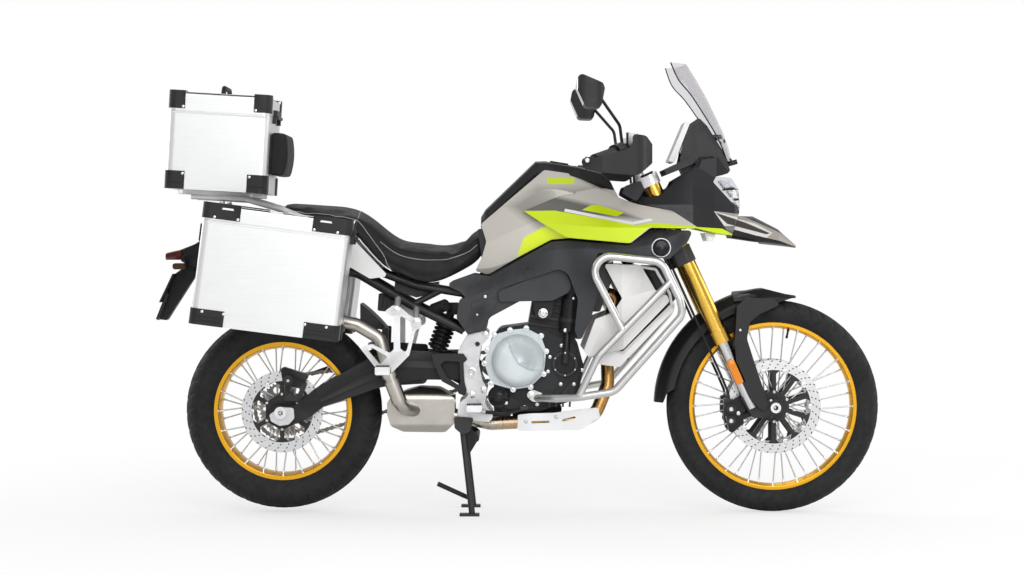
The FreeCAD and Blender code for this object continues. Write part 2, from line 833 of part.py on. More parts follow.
def side_plates():
    """Forged plates for the swinging arm, with the lugs and pins of both stands."""
    plate = slab_y(
        [
            (*PLATE_TOP[0], 4),
            (-197, 530, 14),
            (-178, 498, 14),
            (-176, 434, 14),
            (-160, 390, 14),
            (-193, 364, 14),
            (-197, 328, 10),
            (-178, 313, 8),
            (-94, 303, 10),
            (-81, 323, 10),
            (-108, 364, 14),
            (-100, 408, 14),
            (-117, 441, 20),
            (-128, 493, 30),
            (-119, 552, 20),
            (-94, 576, 10),
            (*PLATE_TOP[1], 6),
        ],
        142,
        158,
    )
    collar = cylinder_y(PIVOT_X, PIVOT_Z, 18, 157, 162)
    eyes = [cylinder_y(x, z, 10, 157, 161) for x, z in ((-106, 586), (-132, 556), (-113, 408), (-149, 392))]
    bore = cylinder_y(PIVOT_X, PIVOT_Z, 14, 130, 170)
    lug = slab_y(
        [
            (STAND_PIVOT_X - 24, STAND_PIVOT_Z - 8, 14),
            (STAND_PIVOT_X - 26, STAND_PIVOT_Z + 30, 8),
            (STAND_PIVOT_X + 38, STAND_PIVOT_Z + 26, 8),
            (STAND_PIVOT_X + 26, STAND_PIVOT_Z - 20, 14),
            (STAND_PIVOT_X, STAND_PIVOT_Z - 28, 14),
        ],
        158,
        168,
    )
    pin = cylinder_y(STAND_PIVOT_X, STAND_PIVOT_Z, STAND_PIN_R, STAND_LEG_Y - 14, 168)
    half = join([plate, collar] + eyes).cut(bore)
    half = join([half, lug, pin])
    axis = side_stand_axis()
    pivot = Vector(SIDE_STAND_X, SIDE_STAND_Y, SIDE_STAND_Z)
    side_pin = Part.makeCylinder(STAND_PIN_R, 44, pivot - axis * 9, axis)
    bracket = slab_y([
        (-84, 348, 10), (-16, 356, 10), (-16, 318, 12), (-44, 284, 14), (-76, 284, 14),
    ], 138 + SEAT_GAP, 160)
    save("side_plates", Part.makeCompound([half, mirrored(half), join([side_pin, bracket])]))


def engine():
    """Twin-cylinder block, closed, with the covers bolted to both sides."""
    crankcase = slab_y(
        [
            (-92, 560, 30),
            (-60, 606, 30),
            (60, 622, 30),
            (186, 575, 40),
            (212, 480, 40),
            (188, 376, 40),
            (70, 338, 30),
            (-60, 336, 30),
            (-76, 400, 40),
            (-90, 470, 40),
        ],
        -130,
        138,
    )
    side_case = slab_y(
        [
            (-84, 556, 30),
            (-56, 600, 30),
            (40, 614, 30),
            (176, 560, 40),
            (204, 478, 40),
            (180, 388, 40),
            (66, 346, 30),
            (-56, 344, 30),
            (-70, 400, 40),
            (-84, 470, 40),
        ],
        -138,
        -128,
    )
    sump = slab_y([(-30, 350, 20), (150, 360, 20), (128, 292, 24), (-10, 290, 24)], -20, 110)
    cylinders = slab_y([(28, 596), (196, 570), (226, 712, 10), (52, 734, 10)], -128, 128)
    head = slab_y([(44, 722, 10), (246, 696, 10), (258, 762, 14), (60, 788, 14)], -142, 142)
    cover = slab_y([(66, 780), (250, 757), (238, 806, 26), (92, 824, 26)], -134, 134)
    ribs = []
    for i in range(4):
        foot = 96 + 22 * i
        ribs.append(slab_y([(foot, 352), (foot + 6, 352), (foot + 10, 404), (foot + 4, 404)], -145, -128))
    for i in range(4):
        height = 618 + 24 * i
        lean = 6 * i
        ribs.append(slab_y([
            (32 + lean, height), (206 + lean, height - 24), (208 + lean, height - 16),
            (34 + lean, height + 8),
        ], -136, 136))
    housing = bar_between(Vector(158, -144, 596), Vector(169, -144, 700), 29)
    cap = bar_between(Vector(169, -144, 698), Vector(171, -144, 716), 24)
    waist = bar_between(Vector(161, -144, 626), Vector(162, -144, 638), 31.5)
    hose = pipe([Vector(158, -148, 606), Vector(154, -158, 540), Vector(150, -158, 494)], 11, 20)
    ports = []
    for y in (-52, 52):
        ports.append(bar_between(Vector(240, y, 728), Vector(282, y, 718), 26))
        ports.append(bar_between(Vector(60, y, 745), Vector(-14, y, 762), 27))
    pocket = slab_y([(-130, 410, 10), (-130, 545, 10), (-26, 545, 30), (-26, 410, 30)], CHAIN_Y - 15, 150)
    cases = [crankcase, side_case, sump, cylinders, head, cover]
    cooling = [housing, cap, waist, hose]
    block = join(cases + cooling + ribs + ports).cut(pocket)
    save("engine", Part.makeCompound([block] + engine_covers(block)))
    return block


def engine_covers(block):
    """Clutch cover, oil filter and pump on the right, alternator and drive covers on the left."""
    side = 138 + SEAT_GAP
    x = -1.0
    z = 503.0
    bolts = [
        (18, 95),
        (47, 108),
        (76, 107),
        (105, 101),
        (133, 113),
        (161, 106),
        (185, 109),
        (220, 115),
        (260, 95),
        (295, 94),
        (332, 93),
    ]
    rim_corners = []
    bosses = []
    for degrees, reach in bolts:
        angle = math.radians(degrees)
        bolt_x = x + reach * math.cos(angle)
        bolt_z = z + reach * math.sin(angle)
        rim_corners.append((bolt_x, bolt_z, 24))
        bosses.append(cylinder_y(bolt_x, bolt_z, 9, -side - 28, -side))
    flange = slab_y(rim_corners, -side - 24, -side)
    dome = revolve_y(
        x,
        z,
        [(-side - 20, 0), (-side - 20, 85), (-side - 44, 83, 8), (-side - 60, 68, 26), (-side - 64, 0)],
    )
    raised = slab_y(
        [
            (x - 35, z + 71, 4),
            (x + 6, z + 76, 20),
            (x + 52, z + 54, 30),
            (x + 78, z + 8, 20),
            (x + 76, z - 30, 4),
            (x + 38, z - 27, 20),
            (x + 2, z - 9, 24),
            (x - 19, z + 24, 20),
        ],
        -side - 72,
        -side - 40,
    )
    raised = raised.common(
        revolve_y(x, z, [
            (-side - 72, 0), (-side - 70, 58), (-side - 46, 84), (-side - 30, 86), (-side - 30, 0),
        ])
    )
    clutch = join([flange, dome, raised] + bosses)
    pot = revolve_y(-64, 386, [
        (-side, 0), (-side, 35), (-side - 26, 35, 20), (-side - 44, 14, 16), (-side - 45, 0),
    ])
    pot = pot.cut(clutch)
    pump = ring_y(150, 491, 40, 33, -side - 14, -side).fuse(cylinder_y(150, 491, 34, -side - 8, -side))
    pump = pump.cut(block)
    alternator = revolve_y(
        30, 490, [
            (side, 0), (side, 68), (side + 26, 68, 8), (side + 34, 60, 10), (side + 56, 54, 14),
            (side + 60, 0),
        ]
    )
    drive = slab_y([(-96, 540, 30), (-14, 560, 30), (-14, 400, 30), (-96, 410, 30)], side, side + 26)
    room = revolve_y(30, 490, [(side - 1, 0), (side - 1, 69), (side + 40, 69), (side + 40, 0)])
    solids = [clutch, pot, pump, alternator, drive.cut(room)]
    return [max(solid.Solids, key=lambda s: s.Volume) for solid in solids]


def radiator(frame_solid):
    core = slab_y([(372, 792, 6), (412, 778, 6), (354, 500, 6), (314, 514, 6)], -146, 146)
    fan = slab_y([(356, 740), (372, 734), (334, 566), (320, 572)], 20, 136)
    hanger = slab_y([(330, 830), (352, 838), (390, 770), (370, 770)], -16, 16)
    save("radiator", join([core, fan, hanger]).cut(frame_solid))


def exhaust(engine_solid):
    r = 20.0
    pipes = []
    for y_port, y_run in ((52, -52), (-52, -100)):
        points = [
            Vector(282 + SEAT_GAP, y_port, 718),
            Vector(318, y_port, 708),
            Vector(290, y_port, 560),
            Vector(292, (y_port + y_run) / 2, 420),
            Vector(246, y_run, 312),
            Vector(-90, y_run, 294),
            Vector(-210, y_run, 322),
        ]
        pipes.append(pipe(points, r, 60))
    shield = slab_y(
        [
            (-2, 326, 6),
            (36, 330, 8),
            (110, 332, 8),
            (258, 350, 8),
            (264, 318, 10),
            (202, 278, 20),
            (-4, 274, 8),
        ],
        -132,
        -126,
    )
    slots = [
        slab_y([(42, 298, 2), (42, 305, 2), (100, 307, 2), (100, 300, 2)], -140, -120),
        slab_y([(142, 304, 2), (142, 311, 2), (184, 321, 2), (184, 314, 2)], -140, -120),
    ]
    tab = slab_y([(60, 286), (90, 286), (90, 294), (60, 294)], -127, -112)
    outline = slab_y(
        [
            (-425, 324, 12),
            (-426, 370, 20),
            (-366, 400, 30),
            (-322, 413, 30),
            (-258, 410, 30),
            (-208, 382, 20),
            (-204, 300, 20),
            (-238, 266, 20),
            (-374, 268, 30),
            (-414, 288, 20),
        ],
        -118,
        72,
    )
    rear_view = slab_x(
        [
            (-114, 288, 20),
            (-88, 264, 20),
            (48, 264, 20),
            (70, 300, 20),
            (68, 384, 30),
            (30, 414, 30),
            (-80, 414, 30),
            (-114, 386, 30),
        ],
        -430,
        -200,
    )
    collector = outline.common(rear_view)
    barrel = bar_between(Vector(-282, -88, 366), Vector(-204, -88, 366), 26)
    link = pipe(
        [
            Vector(-330, -92, 336),
            Vector(-376, -166, 350),
            Vector(-420, -168, 470),
            Vector(-446, -166, 575),
            Vector(-520, -158, 618),
            Vector(-575, -156, 630),
        ],
        21,
        40,
    )
    sleeve = bar_between(Vector(-382, -166, 368), Vector(-409, -168, 438), 24.5)
    clamp = bar_between(Vector(-413, -168, 449), Vector(-418, -168, 463), 25.5)
    solids = pipes + [collector, barrel, link, sleeve, clamp, shield.cut(Part.makeCompound(slots)), tab]
    body = join(solids).cut(engine_solid)
    save("exhaust_pipes", Part.makeCompound([body, silencer(body)]))


def silencer(pipes):
    def ring_at(x, z, wide, tall):
        points = []
        for i in range(12):
            angle = 2 * math.pi * i / 12
            points.append(Vector(x, -156 + wide * math.cos(angle), z + tall * math.sin(angle)))
        curve = Part.BSplineCurve()
        curve.interpolate(points, PeriodicFlag=True)
        return Part.Wire(curve.toShape())

    stations = [
        (-561, 627, 30, 30), (-600, 636, 52, 62), (-860, 700, 54, 70), (-930, 716, 50, 64),
        (-960, 722, 30, 38),
    ]
    can = Part.makeLoft([ring_at(*station) for station in stations], True, False)
    return can.cut(pipes)


def swinging_arm():
    """Both beams with spindle and axle, and the rear caliper on its bracket."""
    arm = slab_y(
        [
            (PIVOT_X + 34, PIVOT_Z + 26, 24),
            (PIVOT_X - 40, PIVOT_Z + 56, 30),
            (-300, 530, 60),
            (-385, 534, 60),
            (-480, 510, 80),
            (-653, 414, 60),
            (REAR_X + 44, REAR_Z + 22, 30),
            (REAR_X - 6, REAR_Z + 24, 16),
            (REAR_X - 42, REAR_Z + 18, 10),
            (REAR_X - 42, REAR_Z - 26, 10),
            (REAR_X - 4, REAR_Z - 38, 16),
            (REAR_X + 54, REAR_Z - 36, 30),
            (-671, 320, 30),
            (-630, 352, 40),
            (-456, 412, 60),
            (-320, 440, 60),
            (PIVOT_X + 30, PIVOT_Z - 26, 24),
        ],
        ARM_INNER_Y,
        ARM_OUTER_Y,
    )
    rib = slab_y(
        [
            (-250, 476, 10), (-380, 480, 20), (-640, 366, 10), (-640, 380, 10), (-470, 468, 30),
            (-380, 502, 30), (-250, 500, 10),
        ],
        ARM_OUTER_Y - 1,
        ARM_OUTER_Y + 3,
    )
    brace = slab_y([
        (-400, 420, 16), (-400, 470, 16), (-296, 476, 16), (-296, 426, 16),
    ], -ARM_INNER_Y - 4, ARM_INNER_Y + 4)
    pivot = cylinder_y(PIVOT_X, PIVOT_Z, 20, -ARM_OUTER_Y - 3, ARM_OUTER_Y + 3)
    spindle = cylinder_y(PIVOT_X, PIVOT_Z, 13, -160, 160)
    axle = cylinder_y(REAR_X, REAR_Z, AXLE_R, -ARM_OUTER_Y - 14, ARM_OUTER_Y + 14)
    solids = [arm, rib, mirrored(arm), mirrored(rib), brace, pivot, spindle, axle]
    hub_half = REAR_DISC_Y + DISC_T + 2
    for side in (-1, 1):
        low = min(side * hub_half, side * ARM_INNER_Y)
        high = max(side * hub_half, side * ARM_INNER_Y)
        solids.append(cylinder_y(REAR_X, REAR_Z, 19, low, high))
        plate_low = ARM_OUTER_Y if side > 0 else -ARM_OUTER_Y - 8
        block = slab_y(
            [
                (REAR_X - 37, REAR_Z - 6, 8),
                (REAR_X - 31, REAR_Z - 28, 6),
                (REAR_X - 4, REAR_Z - 42, 8),
                (REAR_X + 26, REAR_Z - 38, 10),
                (REAR_X + 44, REAR_Z - 18, 8),
                (REAR_X + 42, REAR_Z + 16, 8),
                (REAR_X, REAR_Z + 18, 8),
            ],
            plate_low,
            plate_low + 8,
        )
        solids.append(block)
        nut = cylinder_y(REAR_X, REAR_Z, 20, ARM_OUTER_Y, ARM_OUTER_Y + 20)
        solids.append(nut if side > 0 else mirrored(nut))
    shock_eye = slab_y([(-302, 450), (-302, 496), (-262, 496), (-262, 450)], -20, 20)
    guard = slab_y(
        [
            (-300, 545, 10), (-420, 552, 30), (-640, 470, 40), (-690, 452, 8), (-690, 438, 8),
            (-560, 480, 30), (-300, 524, 10),
        ],
        ARM_INNER_Y - 8,
        ARM_INNER_Y + 2,
    )
    solids += hugger()
    cut_ends = [
        cylinder_y(REAR_X, REAR_Z, 8, -170, -128),
        cylinder_y(REAR_X, REAR_Z, 8, 128, 170),
    ]
    body = join(solids + [shock_eye, guard]).cut(Part.makeCompound(cut_ends))
    save("swinging_arm", Part.makeCompound([body, rear_caliper()]))


def hugger():
    """Splash guard ahead of the rear tyre, on two struts from the beams."""
    outer_r = REAR_TYRE_R + 112
    skirt_r = REAR_TYRE_R + 66
    half = REAR_TYRE_W / 2 + 12
    t = 4.0
    shell = ring_y(REAR_X, REAR_Z, outer_r, skirt_r, -half, half)
    shell = shell.cut(ring_y(REAR_X, REAR_Z, outer_r - t, skirt_r - 1, t - half, half - t))
    sector = slab_y([
        (-514, 600), (-514, 760), (-400, 640), (-418, 596), (-474, 604), (-500, 626),
    ], -half, half)
    strut = slab_y(
        [(-452, 508, 6), (-424, 508, 6), (-421, 606, 6), (-441, 606, 6)],
        half - t,
        ARM_INNER_Y + 4,
    )
    return [shell.common(sector), strut, mirrored(strut)]


def chain():
    """A closed loop of links round both sprockets, clear of the turning one."""
    front_x = -86.0
    front_z = 476.0
    centres = chain_centres(
        front_x, front_z, PINION_R + CHAIN_HALF + SEAT_GAP, SPROCKET_R + MOVING_GAP + CHAIN_HALF + SEAT_GAP
    )
    links = []
    count = len(centres)
    for i in range(count):
        start = centres[i]
        step = centres[(i + 1) % count] - start
        along = Vector(step).normalize()
        across = Vector(-along.z, 0, along.x)
        length = step.Length
        half_y = 8.5 if i % 2 else 6.0
        corners = []
        for run, rise in (
            (-6, 0),
            (-2, -CHAIN_HALF),
            (length / 2, -4.5),
            (length + 2, -CHAIN_HALF),
            (length + 6, 0),
            (length + 2, CHAIN_HALF),
            (length / 2, 4.5),
            (-2, CHAIN_HALF),
        ):
            point = start + along * run + across * rise
            corners.append((point.x, point.z))
        links.append(slab_y(corners, CHAIN_Y - half_y, CHAIN_Y + half_y))
    pinion = cylinder_y(front_x, front_z, PINION_R - SEAT_GAP, CHAIN_Y - 5, CHAIN_Y + 5)
    shaft = cylinder_y(front_x, front_z, 14, CHAIN_Y - 15 + SEAT_GAP, CHAIN_Y + 12)
    save("drive_chain", Part.makeCompound([links[0].multiFuse(links[1:]), join([pinion, shaft])]))


def chain_centres(front_x, front_z, front_r, rear_r):
    """Pin centres along the pitch line: front arc, upper run, rear arc, lower run."""
    span = math.hypot(front_x - REAR_X, front_z - REAR_Z)
    tilt = math.atan2(front_z - REAR_Z, front_x - REAR_X)
    swing = math.acos((rear_r - front_r) / span)
    run = span * math.sin(swing)
    front_arc = 2 * swing * front_r
    rear_arc = 2 * (math.pi - swing) * rear_r
    total = front_arc + rear_arc + 2 * run
    count = 2 * round(total / CHAIN_PITCH / 2)

    def on_front(angle):
        return Vector(front_x + front_r * math.cos(angle), 0, front_z + front_r * math.sin(angle))

    def on_rear(angle):
        return Vector(REAR_X + rear_r * math.cos(angle), 0, REAR_Z + rear_r * math.sin(angle))

    centres = []
    for i in range(count):
        s = total * i / count
        if s < front_arc:
            centres.append(on_front(tilt - swing + s / front_r))
        elif s < front_arc + run:
            share = (s - front_arc) / run
            centres.append(on_front(tilt + swing) * (1 - share) + on_rear(tilt + swing) * share)
        elif s < front_arc + run + rear_arc:
            centres.append(on_rear(tilt + swing + (s - front_arc - run) / rear_r))
        else:
            share = (s - front_arc - run - rear_arc) / run
            centres.append(on_rear(tilt - swing) * (1 - share) + on_front(tilt - swing) * share)
    return centres


def rear_shock():
    """Damper with its spring and remote reservoir, between the arm's eye and the frame bridge."""
    low = Vector(-281, 0, 496 + SEAT_GAP)
    high = Vector(-216, 0, 668)
    along = (high - low).normalize()
    length = low.distanceToPoint(high)
    eye_low = slab_y([(-298, low.z), (-298, 530, 8), (-260, 530, 8), (-260, low.z)], -13, 13)
    eye_high = slab_y([
        (-236, 646, 6), (-236, 686, 6), (-196 - SEAT_GAP, 686), (-196 - SEAT_GAP, 646),
    ], -13, 13)
    body = bar_between(low + along * 12, high, 14)
    coils = []
    count = 7
    for i in range(count):
        centre = low + along * (length * (0.26 + 0.46 * i / (count - 1)))
        coils.append(Part.makeTorus(28, 6, centre, along))
    sleeve = bar_between(low + along * (0.2 * length), low + along * (0.76 * length), 25)
    pot = bar_between(Vector(-276, -58, 664), Vector(-236, -96, 680), 20)
    arm = bar_between(Vector(-226, 0, 664), Vector(-252, -78, 672), 8)
    save("rear_shock", join([body, eye_low, eye_high, sleeve, pot, arm] + coils))


def rear_caliper():
    y_disc = -REAR_DISC_Y - DISC_T
    block = caliper_block(REAR_X, REAR_Z, 96, 150, 52, 92, y_disc - 18, y_disc + 23, y_disc, REAR_DISC_R)
    arm = slab_y(
        [
            (REAR_X + 8, REAR_Z + 36, 6),
            (REAR_X + 16, REAR_Z + 130, 10),
            (REAR_X + 84, REAR_Z + 96, 10),
            (REAR_X + 60, REAR_Z + 34, 6),
        ],
        -ARM_INNER_Y + SEAT_GAP,
        y_disc - MOVING_GAP,
    )
    window = slab_y(
        [
            (REAR_X + 26, REAR_Z + 56, 5), (REAR_X + 30, REAR_Z + 84, 5),
            (REAR_X + 60, REAR_Z + 76, 5), (REAR_X + 50, REAR_Z + 52, 5),
        ],
        -ARM_INNER_Y - 5,
        y_disc,
    )
    piston = cylinder_y(REAR_X + 22, REAR_Z + 103, 17, y_disc - 26, y_disc - 10)
    return join([block, arm.cut(window), piston])


def subframe(frame_solid, seat_solid):
    """Tubes under the seat that carry the tail, racks and passenger pegs, with battery box and regulator."""
    low_rail = [Vector(-176, 134, 598), Vector(-345, 134, 680), Vector(-516, 138, 781), Vector(-900, 128, 868)]
    high_rail = [Vector(-170, 120, 716), Vector(-330, 118, 742), Vector(-640, 128, 858), Vector(-900, 128, 890)]
    half = [
        pipe(low_rail, FRAME_TUBE_R, 80),
        pipe(high_rail, FRAME_TUBE_R - 2, 80),
        bar_between(Vector(-345, 134, 680), Vector(-250, 119, 728), 10),
    ]
    cross = [
        bar_between(Vector(-640, -120, 866), Vector(-640, -120, 980), 9),
        bar_between(Vector(-640, 120, 866), Vector(-640, 120, 980), 9),
        bar_between(Vector(-560, -132, 804), Vector(-560, 132, 804), 11),
        bar_between(Vector(-880, -128, 864), Vector(-880, 128, 864), 11),
        bar_between(Vector(-182, -134, 604), Vector(-182, 134, 604), 12),
        bar_between(Vector(-192, -119, 720), Vector(-192, 119, 720), 11),
    ]
    box = slab_y(
        [(-402, 728, 8), (-398, 780), (-262, 780), (-262, 722, 8), (-330, 704, 8)],
        -112,
        112,
    )
    regulator = slab_y([(-456, 662, 6), (-452, 720, 6), (-376, 700, 6), (-388, 656, 6)], -124, -66)
    fins = []
    for i in range(5):
        step = 13 * i
        fins.append(slab_y([
            (-452 + step, 664), (-446 + step, 664), (-440 + step, 706 - step / 4),
            (-446 + step, 706 - step / 4),
        ], -132, -120))
    solids = cross + [box, regulator] + fins
    for shape in half:
        solids.append(shape)
        solids.append(mirrored(shape))
    body = join(solids).cut(frame_solid).cut(seat_solid)
    return save("subframe", max(body.Solids, key=lambda s: s.Volume))


def footrests(subframe_solid):
    """Pegs, passenger hangers, heel guards, brake pedal and gear lever."""
    peg = slab_y([(-166, 342, 6), (-166, 364, 4), (-115, 364, 4), (-118, 342, 6)], 164, 262)
    grooves = []
    for y in range(184, 256, 12):
        grooves.append(slab_z([(-170, y), (-110, y), (-110, y + 5), (-170, y + 5)], 358, 370))
    root = cylinder_y(-141, 353, 9, 158 + SEAT_GAP, 176)
    peg_half = join([peg.cut(Part.makeCompound(grooves)), root])
    heel = slab_y(
        [
            (-280, 525, 8),
            (-177, 525, 6),
            (-164, 507, 5),
            (-177, 495, 5),
            (-174, 436, 6),
            (-166, 403, 5),
            (-172, 388, 6),
            (-192, 396, 6),
            (-200, 411, 8),
            (-247, 436, 10),
            (-274, 495, 12),
        ],
        158 + SEAT_GAP,
        167,
    )
    window = slab_y(
        [
            (-238, 501, 5), (-190, 499, 4), (-187, 430, 4), (-195, 425, 4), (-229, 448, 8),
            (-252, 488, 8),
        ], 150, 170
    )
    guard = heel.cut(window)
    hanger = slab_y(
        [
            (-435, 658, 8),
            (-402, 682, 12),
            (-379, 676, 12),
            (-341, 644, 8),
            (-312, 642, 12),
            (-310, 612, 12),
            (-330, 600, 6),
            (-350, 521, 10),
            (-405, 466, 10),
            (-455, 478, 8),
            (-508, 545, 6),
            (-471, 558, 8),
            (-413, 529, 6),
            (-400, 540, 6),
            (-400, 646, 4),
        ],
        194,
        206,
    )
    openings = [
        slab_y([(-379, 650, 5), (-346, 628, 6), (-341, 598, 8), (-361, 528, 8), (-379, 543, 6)], 180, 220),
        slab_y([(-486, 542, 3), (-468, 545, 4), (-420, 517, 6), (-444, 492, 4)], 180, 220),
    ]
    hanger = hanger.cut(Part.makeCompound(openings))
    bosses = [cylinder_y(-391, 667, 13, 190, 211), cylinder_y(-328, 628, 15, 190, 211)]
    mounts = [bar_between(Vector(-388, 138, 704), Vector(-391, 200, 667), 10)]
    mounts.append(bar_between(Vector(-330, 134, 674), Vector(-328, 200, 628), 10))
    rear_peg = slab_y([(-456, 462, 6), (-456, 488, 5), (-408, 488, 5), (-408, 462, 6)], 202, 290)
    rear_half = join([hanger, rear_peg] + bosses + mounts).cut(subframe_solid)
    rear_half = max(rear_half.Solids, key=lambda s: s.Volume)
    pedal_route = [Vector(-141, 171, 353), Vector(-110, 184, 338), Vector(-40, 186, 334), Vector(14, 190, 350)]
    pedal = pipe(pedal_route, 6, 14)
    pad = slab_y([(4, 346, 4), (4, 358, 4), (30, 360, 4), (30, 348, 4)], 182, 214)
    right_half = mirrored(join([peg_half, pedal, pad]))
    lever_route = [Vector(-141, 171, 353), Vector(-100, 184, 366), Vector(-40, 186, 372), Vector(6, 188, 372)]
    lever = pipe(lever_route, 6, 14)
    toe = cylinder_y(6, 372, 8, 184, 220)
    left_half = join([peg_half, lever, toe])
    solids = [left_half, right_half, rear_half, mirrored(rear_half), guard, mirrored(guard)]
    save("footrests", Part.makeCompound(solids))


def crash_bars(frame_solid):
    y = CRASH_BAR_Y
    loop = pipe(
        [
            Vector(58, 150, 382),
            Vector(118, 222, 384),
            Vector(192, 274, 391),
            Vector(303, y, 409),
            Vector(522, y, 656),
            Vector(511, y, 704),
            Vector(454, y - 8, 822),
            Vector(205, y - 14, 848),
            Vector(331, y, 606),
        ],
        CRASH_BAR_R,
        50,
    )
    brace = pipe([Vector(485, y - 3, 762), Vector(252, y, 522), Vector(193, 274, 396)], CRASH_BAR_R - 1, 60)
    stub = pipe([Vector(300, y - 12, 837), Vector(292, 226, 828), Vector(286, 170 + SEAT_GAP, 828)], 10, 20)
    foot = slab_y([
        (22, 392, 17), (42, 410, 16), (78, 396, 8), (78, 368, 8), (44, 370, 14),
    ], 138 + SEAT_GAP, 158)
    save("crash_bars", both_sides(join([loop, brace, stub, foot]).cut(frame_solid)))


# Bodywork

def tank_skin():
    """Widths of the tank from rear to front, cut to its outline afterwards."""
    return loft_x(
        [
            (-170, [(0, 740), (70, 740), (88, 800), (96, 880), (78, 950), (40, 1010), (0, 1020)]),
            (-60, [(0, 740), (100, 740), (124, 810), (132, 900), (112, 985), (64, 1050), (0, 1062)]),
            (60, [(0, 760), (116, 760), (146, 850), (158, 950), (136, 1050), (82, 1122), (0, 1136)]),
            (180, [(0, 780), (120, 780), (160, 870), (172, 960), (150, 1040), (92, 1106), (0, 1124)]),
            (345, [(0, 800), (120, 800), (164, 880), (172, 950), (148, 1010), (90, 1056), (0, 1066)]),
        ]
    )


def fuel_tank():
    side = slab_y(
        [
            (-122, 942, 8),
            (-104, 886, 30),
            (-118, 836, 20),
            (-140, 790, 6),
            (-98, 779, 20),
            (4, 838, 20),
            (106, 892, 20),
            (158, 896, 10),
            (345, 955),
            (345, 1042, 10),
            (222, 1090, 20),
            (176, 1104, 20),
            (84, 1118, 16),
        ],
        -190,
        190,
    )
    return save("fuel_tank", tank_skin().common(side).cut(fork_room()))


def fork_room():
    """Space that the fork, yokes and stem sweep round the steering axis."""
    reach = math.hypot(YOKE_OFFSET + FORK_OUTER_R + 12, FORK_SPREAD) + FORK_OUTER_R + 6
    low = LOWER_YOKE_LOW - 30
    room = Part.makeCylinder(reach, 420, Vector(0, 0, low), Z_AXIS)
    lock = math.radians(STEER_LOCK)
    back = YOKE_BACK * math.cos(lock) + (YOKE_HALF - 8) * math.sin(lock) + MOVING_GAP
    keep = Part.makeBox(back + reach + 10, 2 * reach + 20, 420, Vector(-back, -reach - 10, low))
    return fork_place(room.common(keep))


def cap_place(shape):
    """Tilts a shape about the middle of the filler to follow the cover."""
    moved = shape.copy()
    moved.rotate(Vector(), Y_AXIS, CAP_TILT)
    moved.translate(Vector(CAP_X, 0, CAP_Z))
    return moved


def tank_cover(tank):
    """Black centre cover with the filler's seat."""
    body = loft_x(
        [
            (-122, [(0, 930), (66, 930), (74, 944), (60, 960), (0, 966)]),
            (-108, [(0, 940), (70, 942), (80, 958), (62, 982), (0, 990)]),
            (56, [(0, 1092), (84, 1092), (94, 1108), (72, 1140), (0, 1148)]),
            (90, [(0, 1090), (86, 1090), (96, 1108), (74, 1141), (0, 1149)]),
            (196, [(0, 1074), (92, 1074), (104, 1096), (82, 1124), (0, 1132)]),
            (268, [(0, 1048), (94, 1048), (106, 1072), (86, 1106), (0, 1114)]),
            (322, [(0, 1028), (70, 1028), (76, 1046), (60, 1060), (0, 1064)]),
        ],
        True,
    )
    well = cap_place(Part.makeCylinder(CAP_R + CAP_GAP, 40, Vector(), Z_AXIS))
    hinge_room = cap_place(Part.makeBox(16, 28, 40, Vector(CAP_R - 4, -14, 0)))
    body = body.cut(tank).cut(well).cut(hinge_room).cut(fork_room())
    body = max(body.Solids, key=lambda s: s.Volume)
    pin = cap_place(cylinder_y(CAP_R + 6, 9, 2, -16, 16))
    return save("tank_cover", join([body, pin]))


def fuel_cap():
    """Flush cap on a hinge at its front edge."""
    cap = Part.makeCylinder(CAP_R, 13, Vector(0, 0, SEAT_GAP), Z_AXIS)
    rib = slab_z([(-30, -6, 3), (30, -6, 3), (30, 6, 3), (-30, 6, 3)], 12, 18)
    ear = slab_y([(CAP_R - 3, 5), (CAP_R - 3, 13), (CAP_R + 10, 13, 4), (CAP_R + 10, 5, 4)], -9, 9)
    hole = cylinder_y(CAP_R + 6, 9, 2 + RUNNING_FIT, -20, 20)
    save("fuel_cap", cap_place(join([cap, rib, ear]).cut(hole)))


def side_fairings(tank):
    """Painted wings from the tank past the fork, open inside where the fork turns."""
    outer = side_loft_x(
        [
            (0, [(120, 860), (150, 860), (160, 960), (150, 1010), (120, 1060)]),
            (150, [(120, 860), (205, 872), (212, 940), (178, 1010), (110, 1075)]),
            (300, [(120, 850), (238, 872), (244, 930), (196, 1000), (118, 1070)]),
            (430, [(120, 850), (248, 880), (250, 930), (200, 985), (140, 1030)]),
            (580, [(120, 850), (226, 890), (222, 930), (186, 970), (150, 990)]),
        ]
    )
    inner = side_loft_x(
        [
            (-10, [(100, 840), (128, 840), (138, 960), (128, 1000), (100, 1030)]),
            (150, [(100, 840), (187, 862), (194, 938), (162, 1000), (96, 1058)]),
            (300, [(100, 830), (220, 862), (226, 928), (180, 990), (104, 1052)]),
            (430, [(100, 830), (230, 870), (232, 928), (184, 975), (126, 1012)]),
            (600, [(100, 830), (204, 880), (200, 928), (166, 955), (132, 970)]),
        ]
    )
    side = slab_y(
        [
            (16, 984),
            (89, 936, 10),
            (156, 898, 20),
            (356, 880, 20),
            (420, 930, 20),
            (560, 927, 6),
            (572, 931, 6),
            (493, 984, 30),
            (383, 1005, 40),
            (346, 1017, 40),
            (255, 1058, 30),
            (150, 1040, 60),
        ],
        100,
        260,
    )
    half = outer.cut(inner).common(side).cut(tank).cut(fork_room())
    return save("side_fairings", both_sides(max(half.Solids, key=lambda s: s.Volume)))


